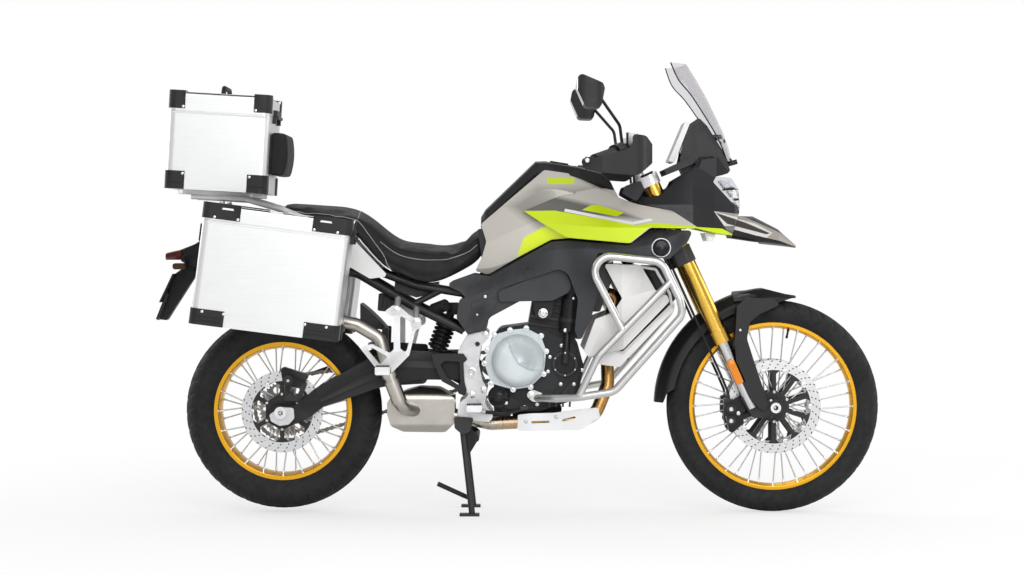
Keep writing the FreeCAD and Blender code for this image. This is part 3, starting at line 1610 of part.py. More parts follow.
def frame_covers(tank, fairings, frame_solid):
    """Black lower side panels: side cover, intake cover and the long sweep under the tank."""
    sweep = slab_y(
        [
            (-240, 748, 10),
            (-145, 782, 20),
            (-92, 773, 20),
            (104, 885, 20),
            (160, 890, 10),
            (352, 873, 20),
            (416, 924, 20),
            (556, 921, 10),
            (540, 886, 12),
            (480, 830, 10),
            (250, 850, 10),
            (254, 720, 30),
            (232, 640, 20),
            (196, 560, 10),
            (180, 600, 20),
            (190, 700, 40),
            (150, 806, 40),
            (-70, 730, 20),
            (-70, 690, 20),
            (-120, 600, 10),
            (-168, 590, 10),
            (-148, 680, 20),
            (-188, 724, 10),
        ],
        100,
        270,
    )
    outer = side_loft_x(
        [
            (-260, [(150, 560), (166, 560), (166, 700), (156, 800), (140, 900)]),
            (-60, [(150, 540), (176, 540), (182, 700), (166, 790), (140, 900)]),
            (120, [(150, 540), (186, 540), (206, 740), (204, 860), (150, 920)]),
            (300, [(150, 540), (214, 560), (236, 760), (236, 860), (150, 960)]),
            (430, [(150, 600), (230, 640), (246, 800), (248, 880), (150, 980)]),
            (600, [(150, 700), (222, 740), (224, 860), (220, 930), (150, 980)]),
        ]
    )
    inner = side_loft_x(
        [
            (-280, [(130, 540), (160, 540), (160, 700), (150, 800), (130, 910)]),
            (-60, [(130, 520), (173, 520), (175, 700), (160, 790), (130, 910)]),
            (120, [(130, 520), (176, 520), (196, 740), (194, 860), (130, 930)]),
            (300, [(130, 520), (204, 550), (226, 760), (226, 858), (130, 970)]),
            (430, [(130, 580), (220, 630), (236, 800), (238, 878), (130, 990)]),
            (620, [(130, 680), (210, 730), (212, 860), (208, 930), (130, 990)]),
        ]
    )
    shell = outer.cut(inner).common(sweep).cut(tank).cut(fork_room())
    for neighbour in (fairings, frame_solid, fog_lamp()):
        shell = shell.cut(neighbour)
    shell = max(shell.Solids, key=lambda s: s.Volume)
    intake = slab_y(
        [(-66, 724, 10), (120, 800, 20), (146, 804, 10), (176, 730, 30), (110, 696, 20), (-60, 692, 10)],
        172 + SEAT_GAP,
        184,
    ).cut(shell)
    intake = max(intake.Solids, key=lambda s: s.Volume)
    return save("frame_covers", both_sides(Part.makeCompound([shell, intake])))


def fog_lamp():
    return revolve_y(454, 866, [(236, 0), (236, 28.5), (256, 28.5, 3), (262, 22, 8), (264, 0)])


def radiator_shrouds():
    """Silver guards beside the radiator: folded panels, a trim rail and a dark lower duct."""
    upper = slab_y(
        [
            (272, 815, 8), (391, 810, 8), (438, 730, 8), (472, 722), (335, 616, 6), (313, 676, 6),
            (331, 704, 6),
        ], 180, 240
    )
    upper_fold = slab_z([(260, 206), (330, 222), (480, 206), (480, 196), (330, 200), (260, 186)], 590, 830)
    lower = slab_y(
        [
            (208, 537, 6),
            (245, 638, 8),
            (292, 656, 8),
            (336, 618),
            (472, 722, 12),
            (483, 694, 12),
            (334, 541, 10),
            (224, 517, 6),
        ],
        180,
        250,
    )
    fold = [(-110, 196), (-4, 240), (150, 216), (240, 196), (240, 184), (-110, 184)]
    panel = join([upper.common(upper_fold), lower.common(turned_prism(fold, 340, 211, 487, 23.1))])
    rail = pipe(
        [
            Vector(384, 207, 806),
            Vector(438, 207, 797),
            Vector(449, 207, 778),
            Vector(483, 207, 720),
            Vector(490, 207, 683),
            Vector(334, 207, 529),
            Vector(300, 207, 541),
        ],
        4.5,
        10,
    )
    duct = slab_y(
        [
            (236, 516), (259, 492, 10), (325, 484, 10), (354, 516, 10), (494, 662, 8), (492, 684),
            (336, 532), (300, 538),
        ],
        182,
        208,
    )
    mount = slab_y([(352, 640, 6), (352, 700, 6), (370, 700, 6), (370, 640, 6)], 146 + SEAT_GAP, 204)
    body = join([panel, rail, mount])
    duct = duct.cut(body)
    duct = max(duct.Solids, key=lambda s: s.Volume)
    save("radiator_shrouds", both_sides(Part.makeCompound([body, duct])))


def nose_sheet(grow):
    """The nose's side sheet: widths along the nose, pulled in by grow for its inner face."""
    stations = []
    for x, low_y, mid_y, high_y, top_y, crown in (
        (320, 168, 178, 168, 140, 1080),
        (495, 178, 188, 176, 132, 1110),
        (560, 176, 190, 172, 120, 1164),
        (630, 146, 166, 146, 100, 1172),
        (700, 108, 128, 112, 76, 1130),
        (740, 70, 92, 80, 40, 1080),
    ):
        bottom = 892 + grow
        stations.append(
            (
                x,
                [
                    (20, bottom),
                    (low_y - grow, bottom),
                    (mid_y - grow, 936),
                    (high_y - grow, 1004),
                    (top_y - grow, crown - 40 - grow),
                    (top_y - 30 - grow, crown - grow),
                    (20, crown - grow),
                ],
            )
        )
    return side_loft_x(stations, True)


def nose_fairing(neighbours):
    """Black nose with the beak: side sheets, lamp housing, screen carrier and struts."""
    sheet = nose_sheet(0).cut(nose_sheet(7))
    side = slab_y(
        [
            (334, 1047, 6),
            (385, 1009, 20),
            (495, 983, 20),
            (564, 930, 6),
            (640, 912, 10),
            (690, 906, 4),
            (716, 984, 4),
            (629, 1078, 6),
            (640, 1098, 6),
            (684, 1110, 4),
            (647, 1164, 6),
            (588, 1160, 8),
            (562, 1120, 10),
            (470, 1066, 20),
            (420, 1044, 20),
        ],
        10,
        200,
    )
    sheet = sheet.common(side)
    core = slab_y(
        [
            (572, 950, 10),
            (640, 920, 10),
            (694, 960, 6),
            (714, 984, 4),
            (628, 1077, 4),
            (637, 1097, 4),
            (682, 1107, 4),
            (646, 1158, 6),
            (592, 1150, 8),
            (572, 1090, 10),
        ],
        -130,
        130,
    )
    plan = slab_z(
        [
            (560, -116), (640, -112), (700, -92), (724, -60, 20), (730, 0, 60), (724, 60, 20),
            (700, 92), (640, 112), (560, 116),
        ],
        900,
        1200,
    )
    core = core.common(plan)
    cheek = slab_y(
        [
            (512, 1092, 10), (548, 1262, 6), (586, 1288, 10), (612, 1262, 30), (664, 1180, 30),
            (690, 1112, 10), (640, 1096, 10),
        ],
        58,
        76,
    )
    floor = slab_y([(512, 1088), (516, 1108), (640, 1112), (640, 1092)], -76, 76)
    boss = bar_between(Vector(590, 67, 1226), Vector(680, 67, 1226), 7)
    foot = bar_between(Vector(640, 50, 1128), Vector(712, 50, 1146), 8)
    strut = slab_y([
        (340, 1046, 6), (346, 1062, 6), (560, 1160, 10), (572, 1146, 10), (560, 1134, 8),
    ], 118, 134)
    strut = strut.fuse(slab_y([
        (334, 1040, 8), (342, 1064, 8), (392, 1082, 8), (404, 1052, 8), (380, 1014, 8),
    ], 120, 172))
    tie = bar_between(Vector(566, 60, 1140), Vector(558, 126, 1144), 9)
    beak_solid = beak()
    half = [sheet, strut, tie, cheek, boss, foot]
    solids = [core, floor]
    for shape in half:
        solids.append(shape)
        solids.append(mirrored(shape))
    body = join(solids).cut(fork_room())
    for neighbour in [beak_solid] + neighbours:
        body = body.cut(neighbour)
    body = max(body.Solids, key=lambda s: s.Volume)
    save("nose_fairing", Part.makeCompound([body, beak_solid]))
    return body


def beak():
    body = loft_x(
        [
            (630, [(0, 902), (96, 898), (116, 906), (124, 930), (114, 966), (72, 978), (0, 982)]),
            (700, [(0, 894), (92, 896), (104, 904), (114, 924), (100, 962), (66, 970), (0, 970)]),
            (768, [(0, 880), (72, 886), (84, 892), (94, 906), (84, 944), (52, 959), (0, 968)]),
            (850, [(0, 872), (42, 876), (52, 880), (60, 888), (54, 907), (34, 917), (0, 926)]),
            (908, [(0, 865), (9, 866), (13, 867), (16, 868), (13, 870), (9, 872), (0, 874)]),
        ],
        True,
    )
    side = slab_y(
        [
            (630, 980), (640, 990), (800, 990), (920, 900), (920, 850), (700, 850), (694, 890),
            (682, 922),
        ], -140, 140
    )
    hollow = loft_x(
        [
            (620, [(0, 890), (90, 890), (104, 910), (100, 950), (0, 966)]),
            (700, [(0, 884), (86, 886), (96, 920), (84, 948), (0, 956)]),
            (790, [(0, 870), (56, 876), (66, 900), (52, 926), (0, 938)]),
        ],
        True,
    )
    return body.common(side).cut(hollow)


def headlamp(nose):
    """Lens of the headlamp, seated on the diagonal front of the nose."""
    side = slab_y(
        [
            (629, 1077, 2),
            (640, 1096, 4),
            (690, 1092, 10),
            (712, 1062, 12),
            (722, 1020, 20),
            (723, 992, 6),
            (714, 984, 2),
        ],
        -120,
        120,
    )
    plan = slab_z(
        [
            (600, -108), (640, -106), (690, -92, 20), (716, -70, 20), (726, 0, 90), (716, 70, 20),
            (690, 92, 20), (640, 106), (600, 108),
        ],
        960,
        1120,
    )
    return max(side.common(plan).cut(nose).Solids, key=lambda s: s.Volume)


def windscreen():
    stations = [
        (1136, 701, 62, 684),
        (1190, 688, 92, 662),
        (1245, 668, 116, 632),
        (1350, 617, 152, 562),
        (1405, 586, 166, 516),
        (1462, 551, 142, 492),
    ]
    wall = 4.0
    wires = []
    for z, middle, half, side in stations:
        outer = Part.Arc(Vector(side, -half, z), Vector(middle, 0, z), Vector(side, half, z)).toShape()
        inner = Part.Arc(
            Vector(side - wall, half - 1, z), Vector(middle - wall, 0, z), Vector(side - wall, 1 - half, z)
        ).toShape()
        ends = [
            Part.makeLine(Vector(side, half, z), Vector(side - wall, half - 1, z)),
            Part.makeLine(Vector(side - wall, 1 - half, z), Vector(side, -half, z)),
        ]
        wires.append(Part.Wire([outer, ends[0], inner, ends[1]]))
    sheet = Part.makeLoft(wires, True, True)
    return save("windscreen", sheet)


def instrument_display():
    body = slab_y([(486, 1146, 5), (541, 1276, 5), (556, 1270, 5), (506, 1142, 5)], -92, 92)
    arm = slab_y([(514, 1180), (526, 1208), (560, 1196), (548, 1168)], -30, 30)
    return save("instrument_display", join([body, arm]))


def seat(neighbours):
    body = loft_x(
        [
            (-765, [(0, 966), (112, 966), (128, 976), (112, 1000), (0, 1012)]),
            (-660, [(0, 950), (128, 950), (146, 966), (128, 990), (0, 1003)]),
            (-518, [(0, 890), (138, 890), (152, 920), (132, 962), (0, 984)]),
            (-440, [(0, 806), (142, 806), (154, 850), (130, 908), (0, 930)]),
            (-370, [(0, 772), (142, 772), (154, 812), (132, 862), (0, 886)]),
            (-250, [(0, 757), (132, 757), (144, 790), (124, 846), (0, 872)]),
            (-190, [(0, 784), (114, 784), (126, 812), (106, 858), (0, 886)]),
            (-128, [(0, 826), (84, 826), (96, 856), (76, 906), (0, 934)]),
            (-110, [(0, 858), (72, 858), (80, 872), (66, 900), (0, 920)]),
        ]
    )
    for neighbour in neighbours:
        body = body.cut(neighbour)
    return save("seat", max(body.Solids, key=lambda s: s.Volume))


def tail_panels(neighbours):
    panel = slab_y(
        [
            (-418, 774, 8),
            (-478, 766, 10),
            (-536, 800, 30),
            (-760, 872, 40),
            (-980, 900, 10),
            (-1000, 930, 10),
            (-780, 956, 40),
            (-640, 944, 40),
            (-530, 892, 40),
        ],
        156,
        166,
    )
    for neighbour in neighbours:
        panel = panel.cut(neighbour)
    return max(panel.Solids, key=lambda s: s.Volume)


def tail_unit(neighbours, nose):
    """Tail with plate holder and silver side panels; all lamps share one node."""
    body = loft_x(
        [
            (-560, [(0, 822), (110, 822), (150, 850), (150, 880), (0, 884)]),
            (-760, [(0, 850), (110, 850), (146, 880), (140, 930), (0, 940)]),
            (-960, [(0, 862), (96, 862), (112, 880), (104, 930), (0, 942)]),
            (-1060, [(0, 800), (60, 800), (80, 840), (76, 872), (0, 878)]),
            (-1100, [(0, 822), (50, 822), (70, 836), (66, 858), (0, 862)]),
        ],
        True,
    )
    lamp = loft_x(
        [
            (-1096, [(0, 826), (60, 826), (78, 838), (70, 858), (0, 862)]),
            (-1150, [(0, 826), (44, 826), (56, 834), (50, 846), (0, 850)]),
        ],
        True,
    )
    hanger = slab_y(
        [
            (-1058, 830, 8),
            (-1096, 800, 8),
            (-1124, 780, 6),
            (-1168, 690, 4),
            (-1156, 684, 4),
            (-1142, 706, 6),
            (-OVERALL_LENGTH / 2, 632, 4),
            (-1150, 628, 6),
            (-1072, 750, 20),
            (-1020, 830, 10),
        ],
        -22,
        22,
    )
    plate = slab_y([(-1122, 782, 2), (-1166, 690, 2), (-1162, 687, 2), (-1118, 780, 2)], -95, 95)
    flap = slab_y([(-1146, 720), (-OVERALL_LENGTH / 2, 634), (-1172, 630), (-1138, 716)], -70, 70)
    stalk = bar_between(Vector(-1090, -112, 806), Vector(-1090, 112, 806), 7)
    body = join([body, hanger, plate, flap, stalk])
    for neighbour in neighbours:
        body = body.cut(neighbour)
    body = max(body.Solids, key=lambda s: s.Volume)
    blinkers = []
    for side in (-1, 1):
        low = 112 + SEAT_GAP if side > 0 else -172 - SEAT_GAP
        blinkers.append(slab_y([
            (-1112, 796, 8), (-1112, 816, 8), (-1072, 816, 8), (-1072, 796, 8),
        ], low, low + 60))
    panel = tail_panels(neighbours + [body])
    fog = fog_lamp()
    save("lamps", Part.makeCompound([lamp.cut(body), headlamp(nose), fog, mirrored(fog)] + blinkers))
    save("tail_unit", Part.makeCompound([body, panel, mirrored(panel)]))


def luggage_racks(neighbours):
    """Grab rails, top-case plate and pannier loops."""
    plate = slab_z(
        [
            (-140, -70, 20),
            (-110, -108, 20),
            (110, -108, 20),
            (142, -80, 20),
            (142, 80, 20),
            (110, 108, 20),
            (-110, 108, 20),
            (-140, 70, 20),
        ],
        -14,
        -SEAT_GAP,
    )
    window = slab_z([(-70, -60, 16), (70, -60, 16), (70, 60, 16), (-70, 60, 16)], -20, 5)
    plate = place_case(plate.cut(window), TOP_CASE_X, TOP_CASE_Z, TOP_CASE_TILT)
    rail = pipe(
        [
            Vector(-1060, 90, 1033),
            Vector(-880, 112, 1023),
            Vector(-760, 152, 988),
            Vector(-640, 168, 940),
            Vector(-600, 168, 900),
        ],
        10,
        60,
    )
    foot = bar_between(Vector(-600, 168, 905), Vector(-600, 168, 866), 10)
    tie = bar_between(Vector(-600, 172, 872), Vector(-600, 118, 846), 9)
    post = pipe([Vector(-960, 106, 1015), Vector(-950, 112, 960), Vector(-880, 128, 880)], 9, 50)
    y = PANNIER_INNER_Y - GUARD_PROUD - MOVING_GAP - RACK_TUBE_R
    loop = pipe(
        [
            Vector(-600, 168, 884),
            Vector(-600, y, 884),
            Vector(-590, y, 830),
            Vector(-616, y, 660),
            Vector(-660, y, 650),
            Vector(-900, y, 682),
            Vector(-946, y, 700),
            Vector(-930, y, 900),
            Vector(-900, y, 930),
            Vector(-600, y, 890),
        ],
        RACK_TUBE_R,
        24,
    )
    arm = pipe([Vector(-905, y, 929), Vector(-905, 160, 905), Vector(-885, 128, 890)], RACK_TUBE_R, 30)
    solids = [plate]
    for shape in (rail, foot, tie, post, loop, arm):
        solids.append(shape)
        solids.append(mirrored(shape))
    body = join(solids)
    for neighbour in neighbours:
        body = body.cut(neighbour)
    return save("luggage_racks", max(body.Solids, key=lambda s: s.Volume))


# Cases

def place_case(shape, x, z, tilt):
    moved = shape.copy()
    moved.rotate(Vector(), Y_AXIS, tilt)
    moved.translate(Vector(x, 0, z))
    return moved


def rounded_box(length, y_low, y_high, z_low, z_high, radius):
    half = length / 2
    corners = [
        (-half, y_low, radius),
        (half, y_low, radius),
        (half, y_high, radius),
        (-half, y_high, radius),
    ]
    return slab_z(corners, z_low, z_high)


def case_body(length, y_low, y_high, height):
    outer = rounded_box(length, y_low, y_high, 0, height, CASE_CORNER_R)
    room = rounded_box(
        length - 2 * CASE_WALL,
        y_low + CASE_WALL,
        y_high - CASE_WALL,
        CASE_WALL,
        height + 1,
        CASE_CORNER_R - CASE_WALL,
    )
    return outer, room


def case_lid(length, y_low, y_high, height, lid):
    outer = rounded_box(length, y_low, y_high, height + LID_GAP, height + lid, CASE_CORNER_R)
    top = [e for e in outer.Edges if e.BoundBox.ZMin > height + lid - 0.01]
    outer = outer.makeFillet(12, top)
    room = rounded_box(
        length - 2 * CASE_WALL,
        y_low + CASE_WALL,
        y_high - CASE_WALL,
        height - 1,
        height + lid - CASE_WALL,
        CASE_CORNER_R - CASE_WALL,
    )
    return outer, room


def corner_guards(length, y_low, y_high, z_low, z_high, reach):
    """Plastic guards over the corners of a case, hugging its walls."""
    p = GUARD_PROUD
    block = rounded_box(length + 2 * p, y_low - p, y_high + p, z_low, z_high, CASE_CORNER_R + p)
    keep = []
    half = length / 2 + p + 1
    depth = min(reach, 0.34 * (y_high - y_low))
    for x_low, x_high in ((-half, -half + reach), (half - reach, half)):
        for cut_low in (y_low - p - 1, y_high + p + 1 - depth):
            corner = Part.makeBox(x_high - x_low, depth, z_high - z_low, Vector(x_low, cut_low, z_low))
            keep.append(block.common(corner))
    return keep


def hinge_barrels(x, z, y_middle, width):
    """Two outer knuckles with a pin for the body, and the lid's middle knuckle round that pin."""
    knuckle = 0.16 * width
    outer_r = 6.0
    pin_r = 3.0
    body = []
    body.append(cylinder_y(x, z, pin_r, y_middle - knuckle - 20, y_middle + knuckle + 20))
    for side in (-1, 1):
        low = y_middle + side * (knuckle + 10) - 10
        body.append(cylinder_y(x, z, outer_r, low, low + 20))
        body.append(Part.makeBox(HINGE_OUT + 1, 20, 20, Vector(x - HINGE_OUT - 1, low, z - 22)))
    middle = cylinder_y(x, z, outer_r, y_middle - knuckle + 1, y_middle + knuckle - 1)
    leaf_corner = Vector(x - HINGE_OUT - 1, y_middle - knuckle + 1, z + 2)
    leaf = Part.makeBox(HINGE_OUT + 1, 2 * knuckle - 2, 20, leaf_corner)
    hole = cylinder_y(x, z, pin_r + RUNNING_FIT, y_middle - knuckle - 30, y_middle + knuckle + 30)
    return body, join([middle, leaf]).cut(hole)


def top_case():
    length = TOP_CASE_LENGTH
    half_w = TOP_CASE_WIDTH / 2
    height = TOP_CASE_BODY
    outer, room = case_body(length, -half_w, half_w, height)
    guards = corner_guards(length, -half_w, half_w, 0, 58, 66)
    hinge_x = length / 2 + HINGE_OUT
    hinge_z = height + 2
    knuckles, leaf = hinge_barrels(hinge_x, hinge_z, 0, TOP_CASE_WIDTH)
    pad = slab_y([(163, 66, 8), (163, 196, 8), (206, 196, 16), (218, 130, 60), (208, 66, 12)], -130, 130)
    mounts = [Part.makeBox(8, 60, 40, Vector(length / 2 - 1, y - 30, 100)) for y in (-70, 70)]
    latch = slab_y([(-176, 190, 4), (-161, 190), (-161, 236), (-176, 236, 4)], -34, 34)
    body = join([outer] + guards + knuckles + [pad, latch] + mounts).cut(room)
    save("top_case", place_case(body, TOP_CASE_X, TOP_CASE_Z, TOP_CASE_TILT))
    lid, lid_room = case_lid(length, -half_w, half_w, height, TOP_CASE_LID)
    z_top = height + TOP_CASE_LID
    lid_guards = corner_guards(length, -half_w, half_w, height + 8, z_top + GUARD_PROUD, 56)
    handle = pipe(
        [
            Vector(-2, -92, z_top - 1),
            Vector(-2, -80, z_top + 24),
            Vector(-2, 80, z_top + 24),
            Vector(-2, 92, z_top - 1),
        ],
        8,
        14,
    )
    made = join([lid, handle, leaf] + lid_guards).cut(lid_room)
    save("top_case_lid", place_case(made, TOP_CASE_X, TOP_CASE_Z, TOP_CASE_TILT))


def panniers():
    length = PANNIER_LENGTH
    y_low = PANNIER_INNER_Y
    y_high = PANNIER_INNER_Y + PANNIER_DEPTH
    height = PANNIER_BODY
    middle = (y_low + y_high) / 2
    outer, room = case_body(length, y_low, y_high, height)
    guards = corner_guards(length, y_low, y_high, 0, 50, 110)
    hinge_x = length / 2 + HINGE_OUT
    hinge_z = height + 2
    knuckles, leaf = hinge_barrels(hinge_x, hinge_z, middle, PANNIER_DEPTH)
    latch_x = -length / 2
    latch = slab_y(
        [
            (latch_x - 14, height - 70, 4), (latch_x, height - 70), (latch_x, height - 14),
            (latch_x - 14, height - 14, 4),
        ],
        middle - 26,
        middle + 26,
    )
    hook_y = y_low - GUARD_PROUD - MOVING_GAP + SEAT_GAP
    hooks = [Part.makeBox(44, 10, 26, Vector(x - 22, hook_y, 190)) for x in (-168, 168)]
    body = join([outer] + guards + knuckles + [latch] + hooks).cut(room)
    left = place_case(body, PANNIER_X, PANNIER_Z, PANNIER_TILT)
    save("panniers", both_sides(left))
    lid, lid_room = case_lid(length, y_low, y_high, height, PANNIER_LID)
    z_top = height + PANNIER_LID
    lid_guards = corner_guards(length, y_low, y_high, height + 6, z_top + GUARD_PROUD, 122)
    made = join([lid, leaf] + lid_guards).cut(lid_room)
    left_lid = place_case(made, PANNIER_X, PANNIER_Z, PANNIER_TILT)
    save("pannier_lid_left", left_lid)
    save("pannier_lid_right", mirrored(left_lid))


# Stands

def centre_stand():
    """Two splayed legs on pins, joined by a cross tube ahead of them, on flat feet."""
    pivot = Vector(STAND_PIVOT_X, STAND_LEG_Y, STAND_PIVOT_Z)
    leg_r = 10.0
    foot_t = 8.0
    ankle = Vector(STAND_FOOT_X, STAND_LEG_Y + 10, foot_t)
    leg = bar_between(pivot, ankle, leg_r)
    eye = cylinder_y(pivot.x, pivot.z, 18, STAND_LEG_Y - 9, STAND_LEG_Y + 7)
    foot = Part.makeBox(64, 44, foot_t, Vector(ankle.x - 40, ankle.y - 22, 0))
    offset = 45.0
    web = slab_y(
        [
            (pivot.x - 6, pivot.z - 4),
            (pivot.x + 12, pivot.z + 4),
            (pivot.x + offset + 12, pivot.z - offset + 6, 8),
            (pivot.x + offset, pivot.z - offset - 14, 8),
            (pivot.x + 14, pivot.z - 110),
        ],
        STAND_LEG_Y - 6,
        STAND_LEG_Y + 2,
    )
    half = join([leg, eye, foot, web])
    cross_x = pivot.x + offset
    cross_z = pivot.z - offset
    cross = cylinder_y(cross_x, cross_z, 10, -STAND_LEG_Y, STAND_LEG_Y)
    tang = pipe(
        [
            Vector(ankle.x - 4, ankle.y, 26),
            Vector(ankle.x - 30, ankle.y + 24, 34),
            Vector(ankle.x - 120, ankle.y + 34, 74),
        ],
        8,
        16,
    )
    holes = []
    for side in (-1, 1):
        centre = side * STAND_LEG_Y
        holes.append(cylinder_y(pivot.x, pivot.z, STAND_PIN_R + RUNNING_FIT, centre - 30, centre + 30))
    save("centre_stand", join([half, mirrored(half), cross, tang]).cut(Part.makeCompound(holes)))


def side_stand_axis():
    splay = math.radians(SIDE_STAND_SPLAY)
    return Vector(0, -math.cos(splay), -math.sin(splay))


def side_stand():
    """Folded along the left side, pivoting down, forward and outward."""
    axis = side_stand_axis()
    pivot = Vector(SIDE_STAND_X, SIDE_STAND_Y, SIDE_STAND_Z)
    end = pivot + Vector(-SIDE_STAND_LENGTH, 0, 0)
    leg = bar_between(pivot, end, 11)
    eye = Part.makeCylinder(20, 14, pivot - axis * 7, axis)
    pad = slab_y(
        [(end.x - 10, end.z - 8), (end.x + 2, end.z - 32), (end.x + 2, end.z + 44), (end.x - 10, end.z + 30)],
        end.y - 26,
        end.y + 22,
    )
    hole = Part.makeCylinder(STAND_PIN_R + RUNNING_FIT, 60, pivot - axis * 30, axis)
    save("side_stand", join([leg, eye, pad]).cut(hole))


def main():
    os.makedirs("parts", exist_ok=True)
    front_wheel()
    rear_wheel()
    legs = fork()
    triple_clamps()
    bar = handlebar()
    hand_guards(bar)
    mirrors(bar)
    front_fender(legs)
    front_calipers(legs, bar)
    tank = fuel_tank()
    frame_solid = frame(tank)
    side_plates()
    engine_solid = engine()
    radiator(frame_solid)
    exhaust(engine_solid)
    swinging_arm()
    chain()
    rear_shock()
    cover = tank_cover(tank)
    seat_solid = seat([tank, cover])
    subframe_solid = subframe(frame_solid, seat_solid)
    footrests(subframe_solid)
    crash_bars(frame_solid)
    fuel_cap()
    fairings = side_fairings(tank)
    covers = frame_covers(tank, fairings, frame_solid)
    radiator_shrouds()
    screen = windscreen()
    display = instrument_display()
    nose = nose_fairing([screen, display, fairings, covers, frame_solid])
    racks = luggage_racks([subframe_solid, seat_solid])
    tail_unit([subframe_solid, seat_solid, racks], nose)
    top_case()
    panniers()
    centre_stand()
    side_stand()


main()
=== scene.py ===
import json
import math

import bmesh
import bpy
from mathutils import Matrix, Vector


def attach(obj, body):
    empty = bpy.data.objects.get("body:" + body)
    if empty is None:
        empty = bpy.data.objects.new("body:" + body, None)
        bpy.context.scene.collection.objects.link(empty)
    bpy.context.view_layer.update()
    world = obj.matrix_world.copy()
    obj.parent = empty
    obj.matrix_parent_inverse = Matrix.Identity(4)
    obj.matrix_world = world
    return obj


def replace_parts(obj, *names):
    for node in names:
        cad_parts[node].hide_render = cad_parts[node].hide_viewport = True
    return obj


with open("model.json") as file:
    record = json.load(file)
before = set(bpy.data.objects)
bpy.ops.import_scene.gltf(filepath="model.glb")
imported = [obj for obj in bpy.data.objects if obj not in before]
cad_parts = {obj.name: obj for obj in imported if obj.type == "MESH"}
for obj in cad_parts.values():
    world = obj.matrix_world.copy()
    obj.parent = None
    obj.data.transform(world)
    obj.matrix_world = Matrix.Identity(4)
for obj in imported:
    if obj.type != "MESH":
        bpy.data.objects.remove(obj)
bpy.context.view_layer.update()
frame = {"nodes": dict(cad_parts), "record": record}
NODES = frame["nodes"]

# Where the camera stood for the photograph, in metres
VIEW_CENTRE = Vector((-0.021, 0.0, 0.735))
VIEW_DISTANCE = 8.5
VIEW_ELEVATION = math.radians(1.0)
METRES_PER_PIXEL = 0.00328
IMAGE_WIDTH = 1024
SENSOR = 36.0

# Places on the motorcycle, in millimetres
FRONT_AXLE = (832.5, 347.5)
REAR_AXLE = (-767.5, 333.0)
CLUTCH_CENTRE = (-1, 503)
FOG_LAMP = (454, 866)
FORK_LEAN = math.radians(24.5)
STEER_FOOT = (750.6, 310.2)
FORK_AHEAD = 24.0
FORK_SPREAD = 105.0
TOP_CASE = (-972.0, 1048.0, math.radians(3.3))
PANNIER = (-794.0, 603.0, math.radians(7.3))
CASE_CORNER_R = 22.0
TOP_CASE_GUARD_Y = 204
PANNIER_GUARD_Y = 480

# Wheels, in millimetres: nipples lie in the rim, the disc's bolts on its carrier
WHEELS = {
    "front": {
        "axle": FRONT_AXLE, "tyre_r": 347.5, "half_w": 46, "bead_r": 268, "blocks": 46, "groove": 4.5,
        "nipple_r": 261.7, "nipple_y": 27, "flange_r": 42, "flange_y": 34,
        "disc_y": 65, "band_r": 119.5, "arms": 10, "bolt_circle_r": 48, "disc_sides": (-1, 1),
    },
    "rear": {
        "axle": REAR_AXLE, "tyre_r": 321.0, "half_w": 75, "bead_r": 217, "blocks": 40, "groove": 5.5,
        "nipple_r": 210.7, "nipple_y": 54, "flange_r": 52, "flange_y": 46,
        "disc_y": 89, "band_r": 99.5, "arms": 6, "bolt_circle_r": 57, "disc_sides": (-1,),
    },
}
SPOKES_PER_SIDE = 20
SPOKE_LEAN = 26

MIRROR_Y = Matrix.Scale(-1, 4, (0, 1, 0))


# Material helpers

